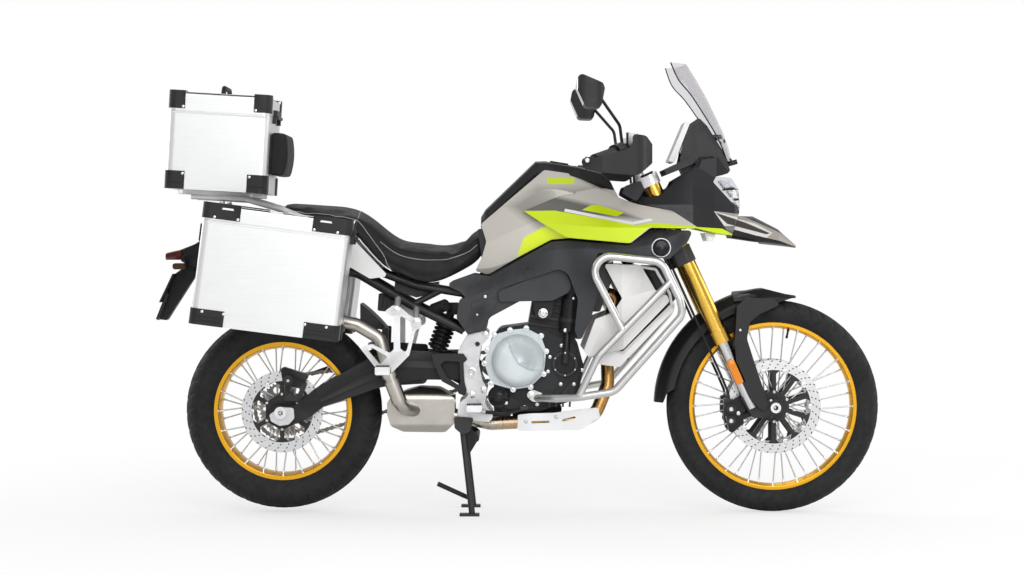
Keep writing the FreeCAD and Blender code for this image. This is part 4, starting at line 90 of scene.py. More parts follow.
class Shader:
    """One procedural material: a Principled shader and the nodes that feed it."""

    def __init__(self, name, colour, rough=0.5, metal=0.0, **sockets):
        self.mat = bpy.data.materials.new(name)
        self.mat.use_nodes = True
        self.mat.diffuse_color = (*colour, 1)
        self.nodes = self.mat.node_tree.nodes
        self.links = self.mat.node_tree.links
        self.bsdf = self.nodes["Principled BSDF"]
        self.colour = colour
        self.place = self.node("TexCoord").outputs["Object"]
        self.rounded = None
        self.set(Base_Color=colour, Roughness=rough, Metallic=metal, **sockets)

    def put(self, socket, value):
        """Link an output to a socket, or set its value."""
        if isinstance(value, bpy.types.NodeSocket):
            self.links.new(value, socket)
        else:
            socket.default_value = (*value, 1) if socket.type == "RGBA" else value

    def node(self, kind, inputs=None, **settings):
        """A new node: its settings, then its inputs by name or number."""
        node = self.nodes.new("ShaderNode" + kind)
        for setting, value in settings.items():
            setattr(node, setting, value)
        for key, value in (inputs or {}).items():
            self.put(node.inputs[key], value)
        return node

    def set(self, **sockets):
        """Inputs of the Principled shader, with _ for a space in their names."""
        for socket, value in sockets.items():
            self.put(self.bsdf.inputs[socket.replace("_", " ")], value)

    def noise(self, scale, detail=4.0, stretch=None, rough=0.5):
        vector = self.place
        if stretch:
            vector = self.node("Mapping", {"Vector": vector, "Scale": stretch}).outputs["Vector"]
        inputs = {"Vector": vector, "Scale": scale, "Detail": detail, "Roughness": rough}
        return self.node("TexNoise", inputs).outputs["Fac"]

    def ramp(self, fac, low, high, colour_low, colour_high):
        node = self.node("ValToRGB", {"Fac": fac})
        for i, (position, colour) in enumerate(((low, colour_low), (high, colour_high))):
            node.color_ramp.elements[i].position = position
            node.color_ramp.elements[i].color = (*colour, 1)
        return node.outputs["Color"]

    def to_range(self, fac, low, high, out_low, out_high):
        inputs = {"Value": fac, "From Min": low, "From Max": high, "To Min": out_low, "To Max": out_high}
        return self.node("MapRange", inputs).outputs["Result"]

    def math(self, operation, *values, **settings):
        return self.node("Math", dict(enumerate(values)), operation=operation, **settings).outputs["Value"]

    def times(self, a, b):
        return self.math("MULTIPLY", a, b)

    def minus(self, a, b):
        return self.math("SUBTRACT", a, b)

    def vector_math(self, operation, *values):
        return self.node("VectorMath", dict(enumerate(values)), operation=operation).outputs

    def mix(self, fac, a, b):
        return self.node("Mix", {0: fac, 6: a, 7: b}, data_type="RGBA").outputs[2]

    def axes(self, vector=None):
        return self.node("SeparateXYZ", {0: vector or self.place}).outputs

    def length(self, a, b):
        """Length of a flat vector from its two parts."""
        return self.math("SQRT", self.math("ADD", self.math("POWER", a, 2.0), self.math("POWER", b, 2.0)))

    def step(self, value, edge, soft=0.0006):
        """0 below an edge and 1 above it, over a soft width."""
        return self.math("MULTIPLY_ADD", value, 1 / soft, 0.5 - edge / soft, use_clamp=True)

    def inside(self, points, soft=0.8):
        """Mask of a convex outline in X and Z, millimetres, the same on both sides of the object."""
        sides = list(zip(points, points[1:] + points[:1]))
        turn = math.copysign(1, sum(x * z2 - x2 * z for (x, z), (x2, z2) in sides))
        mask = None
        for (x, z), (x2, z2) in sides:
            length = math.hypot(x2 - x, z2 - z)
            nx = -turn * (z2 - z) / length
            nz = turn * (x2 - x) / length
            reach = self.vector_math("DOT_PRODUCT", self.place, (nx, 0, nz))["Value"]
            edge = self.step(reach, (nx * x + nz * z) / 1000, soft / 1000)
            mask = self.math("MINIMUM", mask, edge) if mask else edge
        return mask

    def inside_any(self, outlines):
        mask = self.inside(outlines[0])
        for points in outlines[1:]:
            mask = self.math("MAXIMUM", mask, self.inside(points))
        return mask

    def radius(self, x, z):
        """Distance from an axle along Y in metres, and the angle round it."""
        away = self.vector_math("SUBTRACT", self.place, (x / 1000, 0, z / 1000))[0]
        flat = self.vector_math("MULTIPLY", away, (1, 0, 1))[0]
        parts = self.axes(flat)
        return self.vector_math("LENGTH", flat)["Value"], self.math("ARCTAN2", parts["Z"], parts["X"])

    def vary(self, amount=0.12, scale=6.0):
        """Slow change of tone over the surface."""
        low = [c * (1 - amount) for c in self.colour]
        high = [min(1, c * (1 + amount)) for c in self.colour]
        return self.ramp(self.noise(scale, 5), 0.3, 0.7, low, high)

    def lighter_edges(self, base, edge_colour, strength=0.35):
        """Lighter where edges stick out, following pointiness alone."""
        pointed = self.node("NewGeometry").outputs["Pointiness"]
        return self.mix(self.to_range(pointed, 0.52, 0.6, 0, strength), base, edge_colour)

    def paint(self, colour):
        self.set(Base_Color=colour)

    def rough(self, fac, low, high):
        self.set(Roughness=self.to_range(fac, 0.3, 0.7, low, high))

    def round_edges(self, radius=0.0012):
        """Soften the shading across sharp edges by a small radius."""
        self.rounded = self.node("Bevel", {"Radius": radius}, samples=4).outputs["Normal"]

    def bump(self, fac, strength, distance):
        inputs = {"Height": fac, "Strength": strength, "Distance": distance}
        if self.rounded:
            inputs["Normal"] = self.rounded
        self.set(Normal=self.node("Bump", inputs).outputs["Normal"])


def moulded_plastic(name, colour, rough=0.55, grain=900.0, edge=0.0012):
    m = Shader(name, colour, rough, Specular_IOR_Level=0.25 if max(colour) < 0.1 else 0.5)
    m.round_edges(edge)
    m.paint(m.lighter_edges(m.vary(0.18, 5), [min(1, c * 2.0 + 0.02) for c in colour], 0.4))
    m.rough(m.noise(30, 3), rough - 0.08, rough + 0.1)
    m.bump(m.noise(grain, 2), 0.22, 0.0005)
    return m.mat


def cast_metal(name, colour, rough=0.4, metal=0.6, grain=380.0, edge=0.001):
    m = Shader(name, colour, rough, metal, Specular_IOR_Level=0.3 if max(colour) < 0.1 else 0.5)
    m.round_edges(edge)
    m.paint(m.lighter_edges(m.vary(0.14, 9), [min(1, c * 1.5 + 0.05) for c in colour], 0.5))
    m.rough(m.noise(40, 4), rough - 0.08, rough + 0.12)
    m.bump(m.noise(grain, 3), 0.3, 0.0005)
    return m.mat


def brushed_metal(name, colour, rough=0.3, stretch=(1, 60, 60), scale=14.0, depth=0.2, metal=1.0):
    m = Shader(name, colour, rough, metal)
    m.round_edges(0.001)
    streak = m.noise(scale, 5, stretch, 0.7)
    m.paint(m.ramp(streak, 0.3, 0.7, [c * (1 - depth) for c in colour], colour))
    m.rough(streak, rough - depth / 3, rough + depth / 2)
    m.bump(streak, 0.4 * depth, 0.0004)
    return m.mat


def rubber(name, colour=(0.012, 0.012, 0.013), rough=0.7):
    m = Shader(name, colour, rough, Specular_IOR_Level=0.3)
    m.paint(m.lighter_edges(m.vary(0.3, 8), (0.035, 0.034, 0.032), 0.4))
    m.rough(m.noise(60, 4), rough - 0.12, rough + 0.1)
    m.bump(m.noise(700, 4), 0.35, 0.0005)
    return m.mat


def clear_plastic(name, colour, ior):
    m = Shader(name, colour, 0.0, Transmission_Weight=1.0, IOR=ior)
    m.paint(m.vary(0.04, 3))
    return m.mat


NEON = (0.60, 0.76, 0.0)
TANK_NEON = (0.72, 0.86, 0.0)
CHAMPAGNE = (0.56, 0.53, 0.48)
BAND_GREY = (0.11, 0.108, 0.10)
STRIPE_WHITE = (0.82, 0.82, 0.82)

# Outlines of the painted panels in X and Z, millimetres
BAND = [(-4, 981), (75, 1041), (197, 1038), (340, 977), (422, 957)]
STRIPES = [
    [(149, 991), (363, 948), (363, 939), (146, 982)],
    [(363, 948), (420, 960), (430, 953), (363, 939)],
]
NEON_PANELS = [
    [(12, 984), (117, 985), (363, 939), (356, 878), (181, 889), (153, 900), (82, 934)],
    [(363, 939), (414, 929), (350, 878), (349, 886)],
    [(349, 939), (420, 944), (434, 946), (568, 934), (568, 921), (414, 929)],
    [(203, 987), (232, 1002), (253, 1004), (337, 978), (314, 966)],
]
# Upper tank, softly darkened towards its top: painted shade
TANK_SHADE_BAND = [(-30, 1000), (60, 1062), (215, 1058), (345, 1010), (345, 930), (60, 930)]
TANK_PANEL = [(18, 898), (75, 930), (89, 934), (170, 897), (-6, 836)]
TANK_STRIP = [(92, 1091), (182, 1091), (178, 1072), (94, 1073)]
NOSE_STRIP = [(560, 933), (657, 927), (692, 910), (690, 903), (560, 918)]
BEAK = [(629, 984), (715, 974), (935, 880), (935, 850), (722, 850)]
BEAK_LINE = [(622, 984), (750, 954), (826, 914), (797, 890), (665, 925)]
BEAK_INSET = [(634, 979), (734, 948), (818, 913), (806, 909), (672, 943)]


def champagne(name):
    """Silver paint and its fine flake, the ground of tank and fairings."""
    m = Shader(name, CHAMPAGNE, 0.32, 0.25, Coat_Weight=0.5, Coat_Roughness=0.08)
    m.round_edges(0.0015)
    m.bump(m.noise(1400, 2), 0.04, 0.0003)
    dark = [c * 0.94 for c in CHAMPAGNE]
    light = [c * 1.05 for c in CHAMPAGNE]
    return m, m.ramp(m.noise(2600, 2), 0.35, 0.65, dark, light)


def body_paint():
    """A grey airbrushed band, a white stripe and neon panels; the name's place is left plain."""
    m, colour = champagne("champagne_graphic_paint")
    colour = m.mix(m.times(m.inside(BAND, 16), 0.97), colour, BAND_GREY)
    colour = m.mix(m.inside_any(STRIPES), colour, STRIPE_WHITE)
    m.paint(m.mix(m.inside_any(NEON_PANELS), colour, NEON))
    return m.mat


def tank_paint():
    m, colour = champagne("champagne_tank_paint")
    # Band grey laid softly over the upper tank, darker towards the top: painted shade
    colour = m.mix(m.times(m.inside(TANK_SHADE_BAND, 30), 0.55), colour, BAND_GREY)
    colour = m.mix(m.inside(TANK_PANEL, 8), colour, TANK_NEON)
    m.paint(m.mix(m.inside(TANK_STRIP, 1), colour, NEON))
    return m.mat


def nose_and_beak():
    """Black nose with a neon strip; taupe beak with a dark inset and a pale line on its flanks."""
    m = Shader("nose_and_beak", (0.010, 0.010, 0.012), 0.42, Specular_IOR_Level=0.35)
    m.round_edges(0.0015)
    nose = m.mix(m.inside(NOSE_STRIP, 1), m.vary(0.2, 6), NEON)
    normal = m.axes(m.node("NewGeometry").outputs["True Normal"])
    flank = m.step(m.math("ABSOLUTE", normal["Y"]), 0.42, 0.05)
    line = m.times(m.times(m.inside(BEAK_LINE, 2), flank), 0.95)
    taupe = m.mix(line, (0.30, 0.27, 0.235), (0.60, 0.58, 0.55))
    taupe = m.mix(m.times(m.inside(BEAK_INSET, 2), flank), taupe, (0.035, 0.033, 0.030))
    beak = m.times(m.inside(BEAK, 0.6), m.step(normal["Z"], -0.35, 0.1))
    m.paint(m.mix(beak, nose, taupe))
    m.rough(m.noise(30, 3), 0.34, 0.46)
    m.bump(m.noise(1100, 2), 0.08, 0.0004)
    return m.mat


def wheel_hub(name, axle, flange_r):
    """Black hub in the middle, bare steel spokes around it."""
    m = Shader(name, (0.025, 0.025, 0.026), 0.4, 0.5)
    out = m.step(m.radius(*axle)[0], flange_r / 1000)
    m.paint(m.mix(out, m.vary(0.2, 20), (0.60, 0.60, 0.60)))
    m.set(Metallic=m.math("MULTIPLY_ADD", out, 0.45, 0.5))
    m.rough(m.noise(60, 3), 0.28, 0.42)
    m.bump(m.noise(500, 3), 0.2, 0.0004)
    return m.mat


def disc_metal(name, axle, band_r, outer_r, holes):
    """Black carrier and a turned steel band with three rows of small holes."""
    m = Shader(name, (0.60, 0.60, 0.61), 0.3, 1.0)
    reach, turn = m.radius(*axle)
    rings = m.math("SINE", m.times(reach, 9000.0))
    steel = m.ramp(m.to_range(rings, -1, 1, 0, 1), 0.2, 0.8, (0.60, 0.60, 0.61), (0.76, 0.76, 0.77))
    slant = m.times(m.minus(reach, band_r / 1000), 26.0)
    cell = m.math("FRACT", m.math("ADD", m.times(turn, holes / (2 * math.pi)), slant))
    along = m.times(m.math("ABSOLUTE", m.minus(cell, 0.5)), math.pi * (band_r + outer_r) / holes)
    row_gap = (outer_r - band_r) / 3.0
    row = m.math("FRACT", m.math("DIVIDE", m.minus(reach, (band_r + 2) / 1000), row_gap / 1000))
    up = m.times(m.math("ABSOLUTE", m.minus(row, 0.5)), row_gap)
    hole = m.minus(1.0, m.step(m.length(along, up), 2.4, 0.8))
    carrier = m.minus(1.0, m.step(reach, band_r / 1000))
    m.paint(m.mix(carrier, m.mix(hole, steel, (0.02, 0.02, 0.02)), (0.022, 0.022, 0.023)))
    m.set(Metallic=m.minus(1.0, m.times(carrier, 0.6)), Roughness=m.math("MULTIPLY_ADD", carrier, 0.12, 0.3))
    m.bump(rings, 0.08, 0.0003)
    return m.mat


def radiator_core():
    """Fine upright tubes with fins between them."""
    m = Shader("radiator_core", (0.03, 0.03, 0.032), 0.55, 0.4)
    place = m.axes()
    fins = m.math("SINE", m.times(place["Z"], 2200.0))
    both = m.times(fins, m.math("SINE", m.times(place["Y"], 700.0)))
    m.paint(m.ramp(m.to_range(both, -1, 1, 0, 1), 0.3, 0.7, (0.012, 0.012, 0.013), (0.07, 0.07, 0.075)))
    m.rough(m.noise(40, 3), 0.45, 0.65)
    m.bump(both, 0.6, 0.001)
    return m.mat


def seat_vinyl():
    m = Shader("seat_grained_vinyl", (0.010, 0.010, 0.011), 0.6, Specular_IOR_Level=0.2)
    m.paint(m.vary(0.25, 7))
    m.rough(m.noise(25, 3), 0.46, 0.62)
    m.bump(m.node("TexVoronoi", {"Vector": m.place, "Scale": 420}).outputs["Distance"], 0.3, 0.0006)
    return m.mat


def exhaust_steel():
    """Bare steel that turns bronze towards the ports."""
    m = Shader("heated_exhaust_steel", (0.5, 0.4, 0.28), 0.3, 1.0)
    streak = m.noise(30, 5, (8, 1, 1), 0.6)
    cold = m.ramp(streak, 0.3, 0.7, (0.40, 0.37, 0.32), (0.56, 0.53, 0.48))
    warm = m.ramp(streak, 0.3, 0.7, (0.38, 0.20, 0.06), (0.60, 0.36, 0.13))
    m.paint(m.mix(m.to_range(m.axes()["X"], -0.12, 0.05, 0, 1), cold, warm))
    m.rough(streak, 0.22, 0.4)
    m.bump(streak, 0.06, 0.0004)
    return m.mat


MATERIALS = {
    "tyre": rubber("tyre_rubber"),
    "gold_rim": brushed_metal("gold_anodised_rim", (0.85, 0.44, 0.03), 0.28, (1, 1, 1), 25, 0.05),
    "front_hub_metal": wheel_hub("front_hub_and_spokes", FRONT_AXLE, 45),
    "rear_hub_metal": wheel_hub("rear_hub_and_spokes", REAR_AXLE, 55),
    "front_disc_metal": disc_metal("front_disc_steel", FRONT_AXLE, 120, 152.5, 34),
    "rear_disc_metal": disc_metal("rear_disc_steel", REAR_AXLE, 100, 132.5, 26),
    "sprocket_steel": brushed_metal("sprocket_steel", (0.42, 0.42, 0.42), 0.35, (1, 40, 1)),
    "gold_fork": brushed_metal("gold_fork_tube", (0.82, 0.50, 0.09), 0.24, (1, 1, 1), 25, 0.04),
    "fork_chrome": brushed_metal("fork_inner_tube", (0.66, 0.66, 0.67), 0.16, (1, 1, 40), 14, 0.08),
    "fork_steel": cast_metal("fork_foot_black", (0.016, 0.016, 0.017), 0.35, 0.3),
    "silver_alloy": cast_metal("silver_forged_alloy", (0.60, 0.60, 0.61), 0.36, 0.75),
    "bolt_steel": cast_metal("bolt_steel", (0.68, 0.68, 0.68), 0.25, 0.95, 500, 0.0004),
    "bolt_black": cast_metal("bolt_black", (0.03, 0.03, 0.03), 0.35, 0.6, 500, 0.0004),
    "black_metal": cast_metal("black_anodised", (0.014, 0.014, 0.015), 0.38, 0.3),
    "black_plastic": moulded_plastic("black_moulded_plastic", (0.010, 0.010, 0.011), 0.45),
    "gloss_black": moulded_plastic("gloss_black_cover", (0.012, 0.012, 0.013), 0.15),
    "dark_plastic": moulded_plastic("dark_grey_plastic", (0.026, 0.027, 0.030), 0.5),
    "frame_black": cast_metal("black_powder_coat", (0.012, 0.012, 0.013), 0.38, 0.2, 700),
    "engine_black": cast_metal("engine_cast_dark", (0.011, 0.0115, 0.013), 0.36, 0.3),
    "cover_grey": cast_metal("clutch_cover_grey", (0.58, 0.63, 0.65), 0.36, 0.25),
    "cover_dark": cast_metal("clutch_cover_dark", (0.38, 0.42, 0.44), 0.36, 0.25),
    "radiator_black": radiator_core(),
    "exhaust_bronze": exhaust_steel(),
    "silencer_steel": brushed_metal("silencer_steel", (0.53, 0.505, 0.46), 0.33, (1, 1, 1), 9, 0.16),
    "chain_steel": brushed_metal("chain_steel", (0.30, 0.29, 0.27), 0.4, (20, 1, 20)),
    "shock_black": cast_metal("shock_black", (0.014, 0.014, 0.015), 0.4, 0.3),
    "spring_paint": cast_metal("spring_black", (0.02, 0.02, 0.021), 0.3, 0.2),
    "bar_steel": brushed_metal("brushed_bar_steel", (0.64, 0.635, 0.63), 0.3, (1, 1, 1), 30, 0.05),
    "rail_silver": cast_metal("rail_silver_coat", (0.56, 0.56, 0.57), 0.34, 0.6),
    "paint_silver": body_paint(),
    "tank_paint": tank_paint(),
    "panel_silver": moulded_plastic("panel_silver_paint", (0.62, 0.61, 0.60), 0.34, 1500),
    "nose_plastic": nose_and_beak(),
    "lamp_lens": clear_plastic("lamp_clear_lens", (0.70, 0.72, 0.75), 1.15),
    "lamp_red": moulded_plastic("smoked_tail_lamp", (0.060, 0.003, 0.003), 0.1),
    "lamp_smoke": moulded_plastic("smoked_indicator", (0.035, 0.014, 0.004), 0.12),
    "lamp_amber": moulded_plastic("lamp_amber", (0.75, 0.22, 0.01), 0.14),
    "lamp_glass": moulded_plastic("lamp_reflector", (0.72, 0.74, 0.77), 0.12),
    "screen_smoke": clear_plastic("screen_smoke_tint", (0.74, 0.73, 0.75), 1.12),
    "display_black": moulded_plastic("display_black", (0.008, 0.008, 0.010), 0.1),
    "mirror_glass": brushed_metal("mirror_glass", (0.80, 0.81, 0.83), 0.06, (1, 1, 1), 4, 0.03),
    "seat_cover": seat_vinyl(),
    "stitch_grey": rubber("stitch_light_grey", (0.42, 0.42, 0.43), 0.7),
    "strap_black": rubber("strap_black", (0.02, 0.02, 0.02), 0.75),
    "case_aluminium": brushed_metal(
        "case_brushed_aluminium", (0.86, 0.865, 0.87), 0.36, (1, 30, 40), 10, 0.07, 0.8
    ),
    # Lid tops in a darker copy of the case aluminium: painted shade on faces that look up
    "case_top": brushed_metal("lid_top_aluminium_painted_shade", (0.56, 0.565, 0.57), 0.4, (1, 40, 30), 10, 0.1, 0.8),
    "label_white": moulded_plastic("plain_label_white", (0.72, 0.72, 0.71), 0.4),
}
NODE_MATERIAL = {
    "front_hub": "front_hub_metal",
    "rear_hub": "rear_hub_metal",
    "front_brake_discs": "front_disc_metal",
    "rear_brake_disc": "rear_disc_metal",
    "fuel_tank": "tank_paint",
    "nose_fairing": "nose_plastic",
}

for part in frame["record"]["subparts"]:
    mesh = NODES[part["node"]].data
    mesh.materials.clear()
    mesh.materials.append(MATERIALS[NODE_MATERIAL.get(part["node"], part["material_slot"])])
    mesh.shade_smooth()
    mesh.set_sharp_from_angle(angle=math.radians(30))


# Zones of one node in more than one material

def islands(mesh):
    """For each face, the lowest and highest corner of the solid it belongs to, in millimetres."""
    parent = {}

    def find(key):
        while parent[key] != key:
            parent[key] = parent[parent[key]]
            key = parent[key]
        return key

    keys = [tuple(round(c * 20000) for c in vertex.co) for vertex in mesh.vertices]
    for key in keys:
        parent[key] = key
    for edge in mesh.edges:
        a, b = (find(keys[i]) for i in edge.vertices)
        parent[a] = b
    boxes = {}
    for vertex, key in zip(mesh.vertices, keys):
        point = vertex.co * 1000
        low, high = boxes.setdefault(find(key), (point.copy(), point.copy()))
        for i in range(3):
            low[i] = min(low[i], point[i])
            high[i] = max(high[i], point[i])
    return [boxes[find(keys[face.vertices[0]])] for face in mesh.polygons]


def zone(name, materials, pick):
    """Give each face the material whose number pick returns for its middle, normal and solid."""
    mesh = NODES[name].data
    mesh.materials.clear()
    for material in materials.split():
        mesh.materials.append(MATERIALS[material])
    boxes = islands(mesh)
    for face in mesh.polygons:
        middle = face.center * 1000
        middle.y = abs(middle.y)
        low, high = boxes[face.index]
        face.material_index = int(pick(middle, face.normal, low, high))


def turned(x, z, angle):
    """A flat place in axes turned by an angle."""
    return x * math.cos(angle) + z * math.sin(angle), z * math.cos(angle) - x * math.sin(angle)


def case_local(point, place):
    """Along and up inside a tilted case, in millimetres."""
    x, z, tilt = place
    return turned(point.x - x, point.z - z, -tilt)


def up_fork(point):
    """How far a place lies along the steering axis, in millimetres."""
    return turned(point.x - STEER_FOOT[0], point.z - STEER_FOOT[1], FORK_LEAN)[1]


def pick_engine(p, n, low, high):
    """Block 0, clutch cover 1 and its face 2, right pump cover 3, left cover 4."""
    if low.y < -180 and high.z > 560:
        return 2 if abs(n.y) > 0.9 and p.y > 205 else 1
    if high.y < -137 and high.z < 450:
        return 3
    return 4 if low.y > 137 else 0


def pick_exhaust(p, n, low, high):
    """Bronze pipes 0, steel behind them 1, heat shield 2, silencer end 3."""
    if p.x < -560:
        return 3 if p.x < -925 else 1
    if p.x > -6 and p.y > 122 and p.z < 352:
        return 2
    return p.x < -196


def pick_arm(p, n, low, high):
    """Beams 0, axle blocks 1, guards 2, caliper 3."""
    if low.z > 360:
        return 3
    if p.y > 138.5 and p.x < -715:
        return 1
    return 2 if p.z > 560 or (p.y < 113 and p.z > 505 and p.x < -300) else 0


def pick_lamps(p, n, low, high):
    """Headlamp 0, tail lamp 1, fog lamps 2 with dark middles 3, indicators 4."""
    if high.x < 0:
        return 1 if high.y - low.y > 100 else 4
    if high.x > 600:
        return 0
    return 3 if (p.x - FOG_LAMP[0]) ** 2 + (p.z - FOG_LAMP[1]) ** 2 < 730 else 2


def pick_case(place, half_length, y_low, y_high, top):
    """Walls 0, black guards that stand proud of them 1, lid top in darker aluminium as painted shade 2,
    padded backrest 3.
    """
    def pick(p, n, low, high):
        along, up = case_local(p, place)
        if place is TOP_CASE and along > 162.5 and p.y < 131 and 59 < up < 201:
            return 3
        # Faces of the lid that look up take the darker aluminium: painted shade
        if n.z > 0.9 and top - 40 < up < top + 0.9:
            return 2
        ends = max(abs(along) - half_length + CASE_CORNER_R, 0)
        sides = max(p.y - y_high + CASE_CORNER_R, y_low - p.y + CASE_CORNER_R, 0)
        return math.hypot(ends, sides) > CASE_CORNER_R + 0.9 or up > top + 0.9
    return pick


def pick_bar(p, n, low, high):
    """Bar and levers 0, grips 1, reservoir window 2."""
    if 262 < p.y < 400 and p.x < 320 and p.x + 0.6 * (p.y - 262) < 322:
        return 1
    return 2 if 1206 < p.z < 1222 and p.x > 350 else 0


def pick_footrests(p, n, low, high):
    """Hangers 0, heel plates 1, pedals ahead 2."""
    if low.y < 163 and high.z > 500 and low.x > -300 and abs(low.y) > 150:
        return 1
    return 2 if p.x > -105 else 0


def pick_fork_legs(p, n, low, high):
    """Black feet 0, bright tubes 1, axle end 2."""
    if up_fork(p) > 80:
        return 1
    return 2 if p.y > 121 and abs(p.x - FRONT_AXLE[0]) < 18 else 0


zone("engine", "engine_black cover_grey cover_dark gloss_black black_metal", pick_engine)
zone("rear_hub", "rear_hub_metal sprocket_steel", lambda p, n, low, high: low.y > 60)
zone("fork_tubes", "gold_fork black_metal", lambda p, n, low, high: up_fork(p) > 858)
zone("fork_legs", "fork_steel fork_chrome bolt_steel", pick_fork_legs)
zone("triple_clamps", "black_metal silver_alloy", lambda p, n, low, high: up_fork(p) > 815)
zone("handlebar", "black_metal strap_black lamp_glass", pick_bar)
zone("mirrors", "black_plastic mirror_glass", lambda p, n, low, high: n.x < -0.88 and p.y > 318)
zone("front_calipers", "black_metal strap_black", lambda p, n, low, high: high.z > 700)
zone(
    "side_plates", "silver_alloy frame_black",
    lambda p, n, low, high: p.y > 163 or (p.z < 330 and p.y < 140) or p.x > -80,
)
zone("exhaust_pipes", "exhaust_bronze silencer_steel silver_alloy black_plastic", pick_exhaust)
zone("swinging_arm", "frame_black silver_alloy black_plastic black_metal", pick_arm)
zone(
    "rear_shock", "shock_black spring_paint",
    lambda p, n, low, high: high.x - low.x < 75 and high.z - low.z < 60,
)
zone(
    "subframe", "frame_black radiator_black",
    lambda p, n, low, high: 655 < p.z < 722 and p.x < -378 and 60 < p.y < 133,
)
zone("footrests", "silver_alloy black_plastic black_metal", pick_footrests)
zone("radiator_shrouds", "panel_silver dark_plastic", lambda p, n, low, high: high.z < 700)
zone(
    "frame_covers", "dark_plastic black_plastic",
    lambda p, n, low, high: low.z > 640 and high.z < 800 and high.x < 0,
)
zone("lamps", "lamp_lens lamp_red lamp_glass display_black lamp_smoke", pick_lamps)
zone("tail_unit", "black_plastic panel_silver", lambda p, n, low, high: low.y > 60 or high.y < -60)
zone("instrument_display", "panel_silver display_black", lambda p, n, low, high: n.x < -0.6)
zone("luggage_racks", "rail_silver black_metal", lambda p, n, low, high: p.z < 700 or p.y > 185)
pick_top_case = pick_case(TOP_CASE, 161, -400, 200, 312)
zone("top_case", "case_aluminium black_plastic case_top seat_cover", pick_top_case)
zone("top_case_lid", "case_aluminium black_plastic case_top", pick_top_case)
for name in ("panniers", "pannier_lid_left", "pannier_lid_right"):
    zone(name, "case_aluminium black_plastic case_top", pick_case(PANNIER, 229.5, 240, 476, 378))


# Pieces made here

def link(name, data):
    """A new object in the scene."""
    thing = bpy.data.objects.new(name, data)
    bpy.context.scene.collection.objects.link(thing)
    return thing


def circle(centre, axis, radius, sides, spare):
    """Points round an axis; spare is the guide where the axis is near upright."""
    u = axis.cross(Vector((0, 0, 1)) if abs(axis.z) < 0.9 else spare).normalized()
    v = axis.cross(u)
    turns = [2 * math.pi * i / sides for i in range(sides)]
    return [centre + u * radius * math.cos(a) + v * radius * math.sin(a) for a in turns]


class Piece:
    """A mesh of turned or cut forms that rides on one body; places are in millimetres."""

    def __init__(self, name, body="chassis", material="bolt_steel", slot="disc_steel"):
        self.name = name
        self.body = body
        self.material = material
        self.slot = slot
        self.bm = bmesh.new()

    def points(self, places):
        return [self.bm.verts.new(Vector(place) / 1000) for place in places]

    def bridge(self, rings, wrap=True):
        """Faces between neighbouring rings; a ring of one point is a tip."""
        for low, high in zip(rings, rings[1:]):
            sides = max(len(low), len(high))
            for i in range(sides if wrap else sides - 1):
                j = (i + 1) % sides
                face = (low[i % len(low)], low[j % len(low)], high[j % len(high)], high[i % len(high)])
                self.bm.faces.new(list(dict.fromkeys(face)))

    def lathe(self, origin, axis, profile, sides=16):
        """Turn (radius, height) points round an axis from an origin."""
        axis = Vector(axis).normalized()
        rings = []
        for radius, height in profile:
            centre = Vector(origin) + axis * height
            ring = circle(centre, axis, radius, sides, Vector((1, 0, 0))) if radius else [centre]
            rings.append(self.points(ring))
        self.bridge(rings)

    def tube(self, path, radius, sides=10):
        """A round bar through the points of a path."""
        path = [Vector(point) for point in path]
        rings = []
        for before, point, after in zip(path[:1] + path, path, path[1:] + path[-1:]):
            along = (after - before).normalized()
            rings.append(self.points(circle(point, along, radius, sides, Vector((0, 1, 0)))))
        self.bridge(rings)
        self.bm.faces.new(rings[0][::-1])
        self.bm.faces.new(rings[-1])

    def plate(self, outline, y_low, y_high):
        """A flat piece with an outline in X and Z between two Y values."""
        rings = [self.points((x, y, z) for x, z in outline) for y in (y_low, y_high)]
        self.bridge(rings)
        self.bm.faces.new(rings[0][::-1])
        self.bm.faces.new(rings[1])

    def button(self, origin, axis, radius, height=None):
        """Button-head screw with a socket."""
        h = height or radius * 0.7
        profile = [(0.98, -0.5 / h), (1, 0.35), (0.86, 0.8), (0.6, 1), (0.5, 1), (0.45, 0.3), (0, 0.25)]
        self.lathe(origin, axis, [(r * radius, up * h) for r, up in profile])

    def hexagon(self, origin, axis, radius):
        """Flanged hexagon bolt."""
        h = radius * 0.6
        flange = [(1.25, -0.5 / h), (1.25, 0.2), (0.95, 0.3)]
        head = [(0.95, 0.2), (0.95, 0.85), (0.8, 1), (0.3, 1), (0, 0.9)]
        self.lathe(origin, axis, [(r * radius, up * h) for r, up in flange], 20)
        self.lathe(origin, axis, [(r * radius, up * h) for r, up in head], 6)

    def done(self, degrees=35, mirrored=False, bevel=0.0):
        """The finished object, with edges above an angle kept sharp, and its twin on the other side."""
        mesh = bpy.data.meshes.new(self.name)
        if mirrored:
            self.bm.to_mesh(mesh)
            mesh.transform(MIRROR_Y)
            self.bm.from_mesh(mesh)
        bmesh.ops.recalc_face_normals(self.bm, faces=self.bm.faces)
        self.bm.to_mesh(mesh)
        self.bm.free()
        mesh.materials.append(MATERIALS[self.material])
        mesh.shade_smooth()
        mesh.set_sharp_from_angle(angle=math.radians(degrees))
        thing = link(self.name, mesh)
        if bevel:
            modifier = thing.modifiers.new("edges", "BEVEL")
            modifier.width = bevel / 1000
            modifier.segments = 2
            modifier.limit_method = "ANGLE"
        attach(thing, self.body)
        return thing


def fork_place(ahead, y, along):
    """A point given ahead of and along the steering axis."""
    x, z = turned(ahead, along, -FORK_LEAN)
    return Vector((STEER_FOOT[0] + x, y, STEER_FOOT[1] + z))


def case_place(place, along, y, up):
    """A point given along, across and up a tilted case."""
    x, z = turned(along, up, place[2])
    return Vector((place[0] + x, y, place[1] + z))


def around(centre, radius, degrees, y=0.0):
    a = math.radians(degrees)
    return Vector((centre[0] + radius * math.cos(a), y, centre[1] + radius * math.sin(a)))


# Tyres with tread

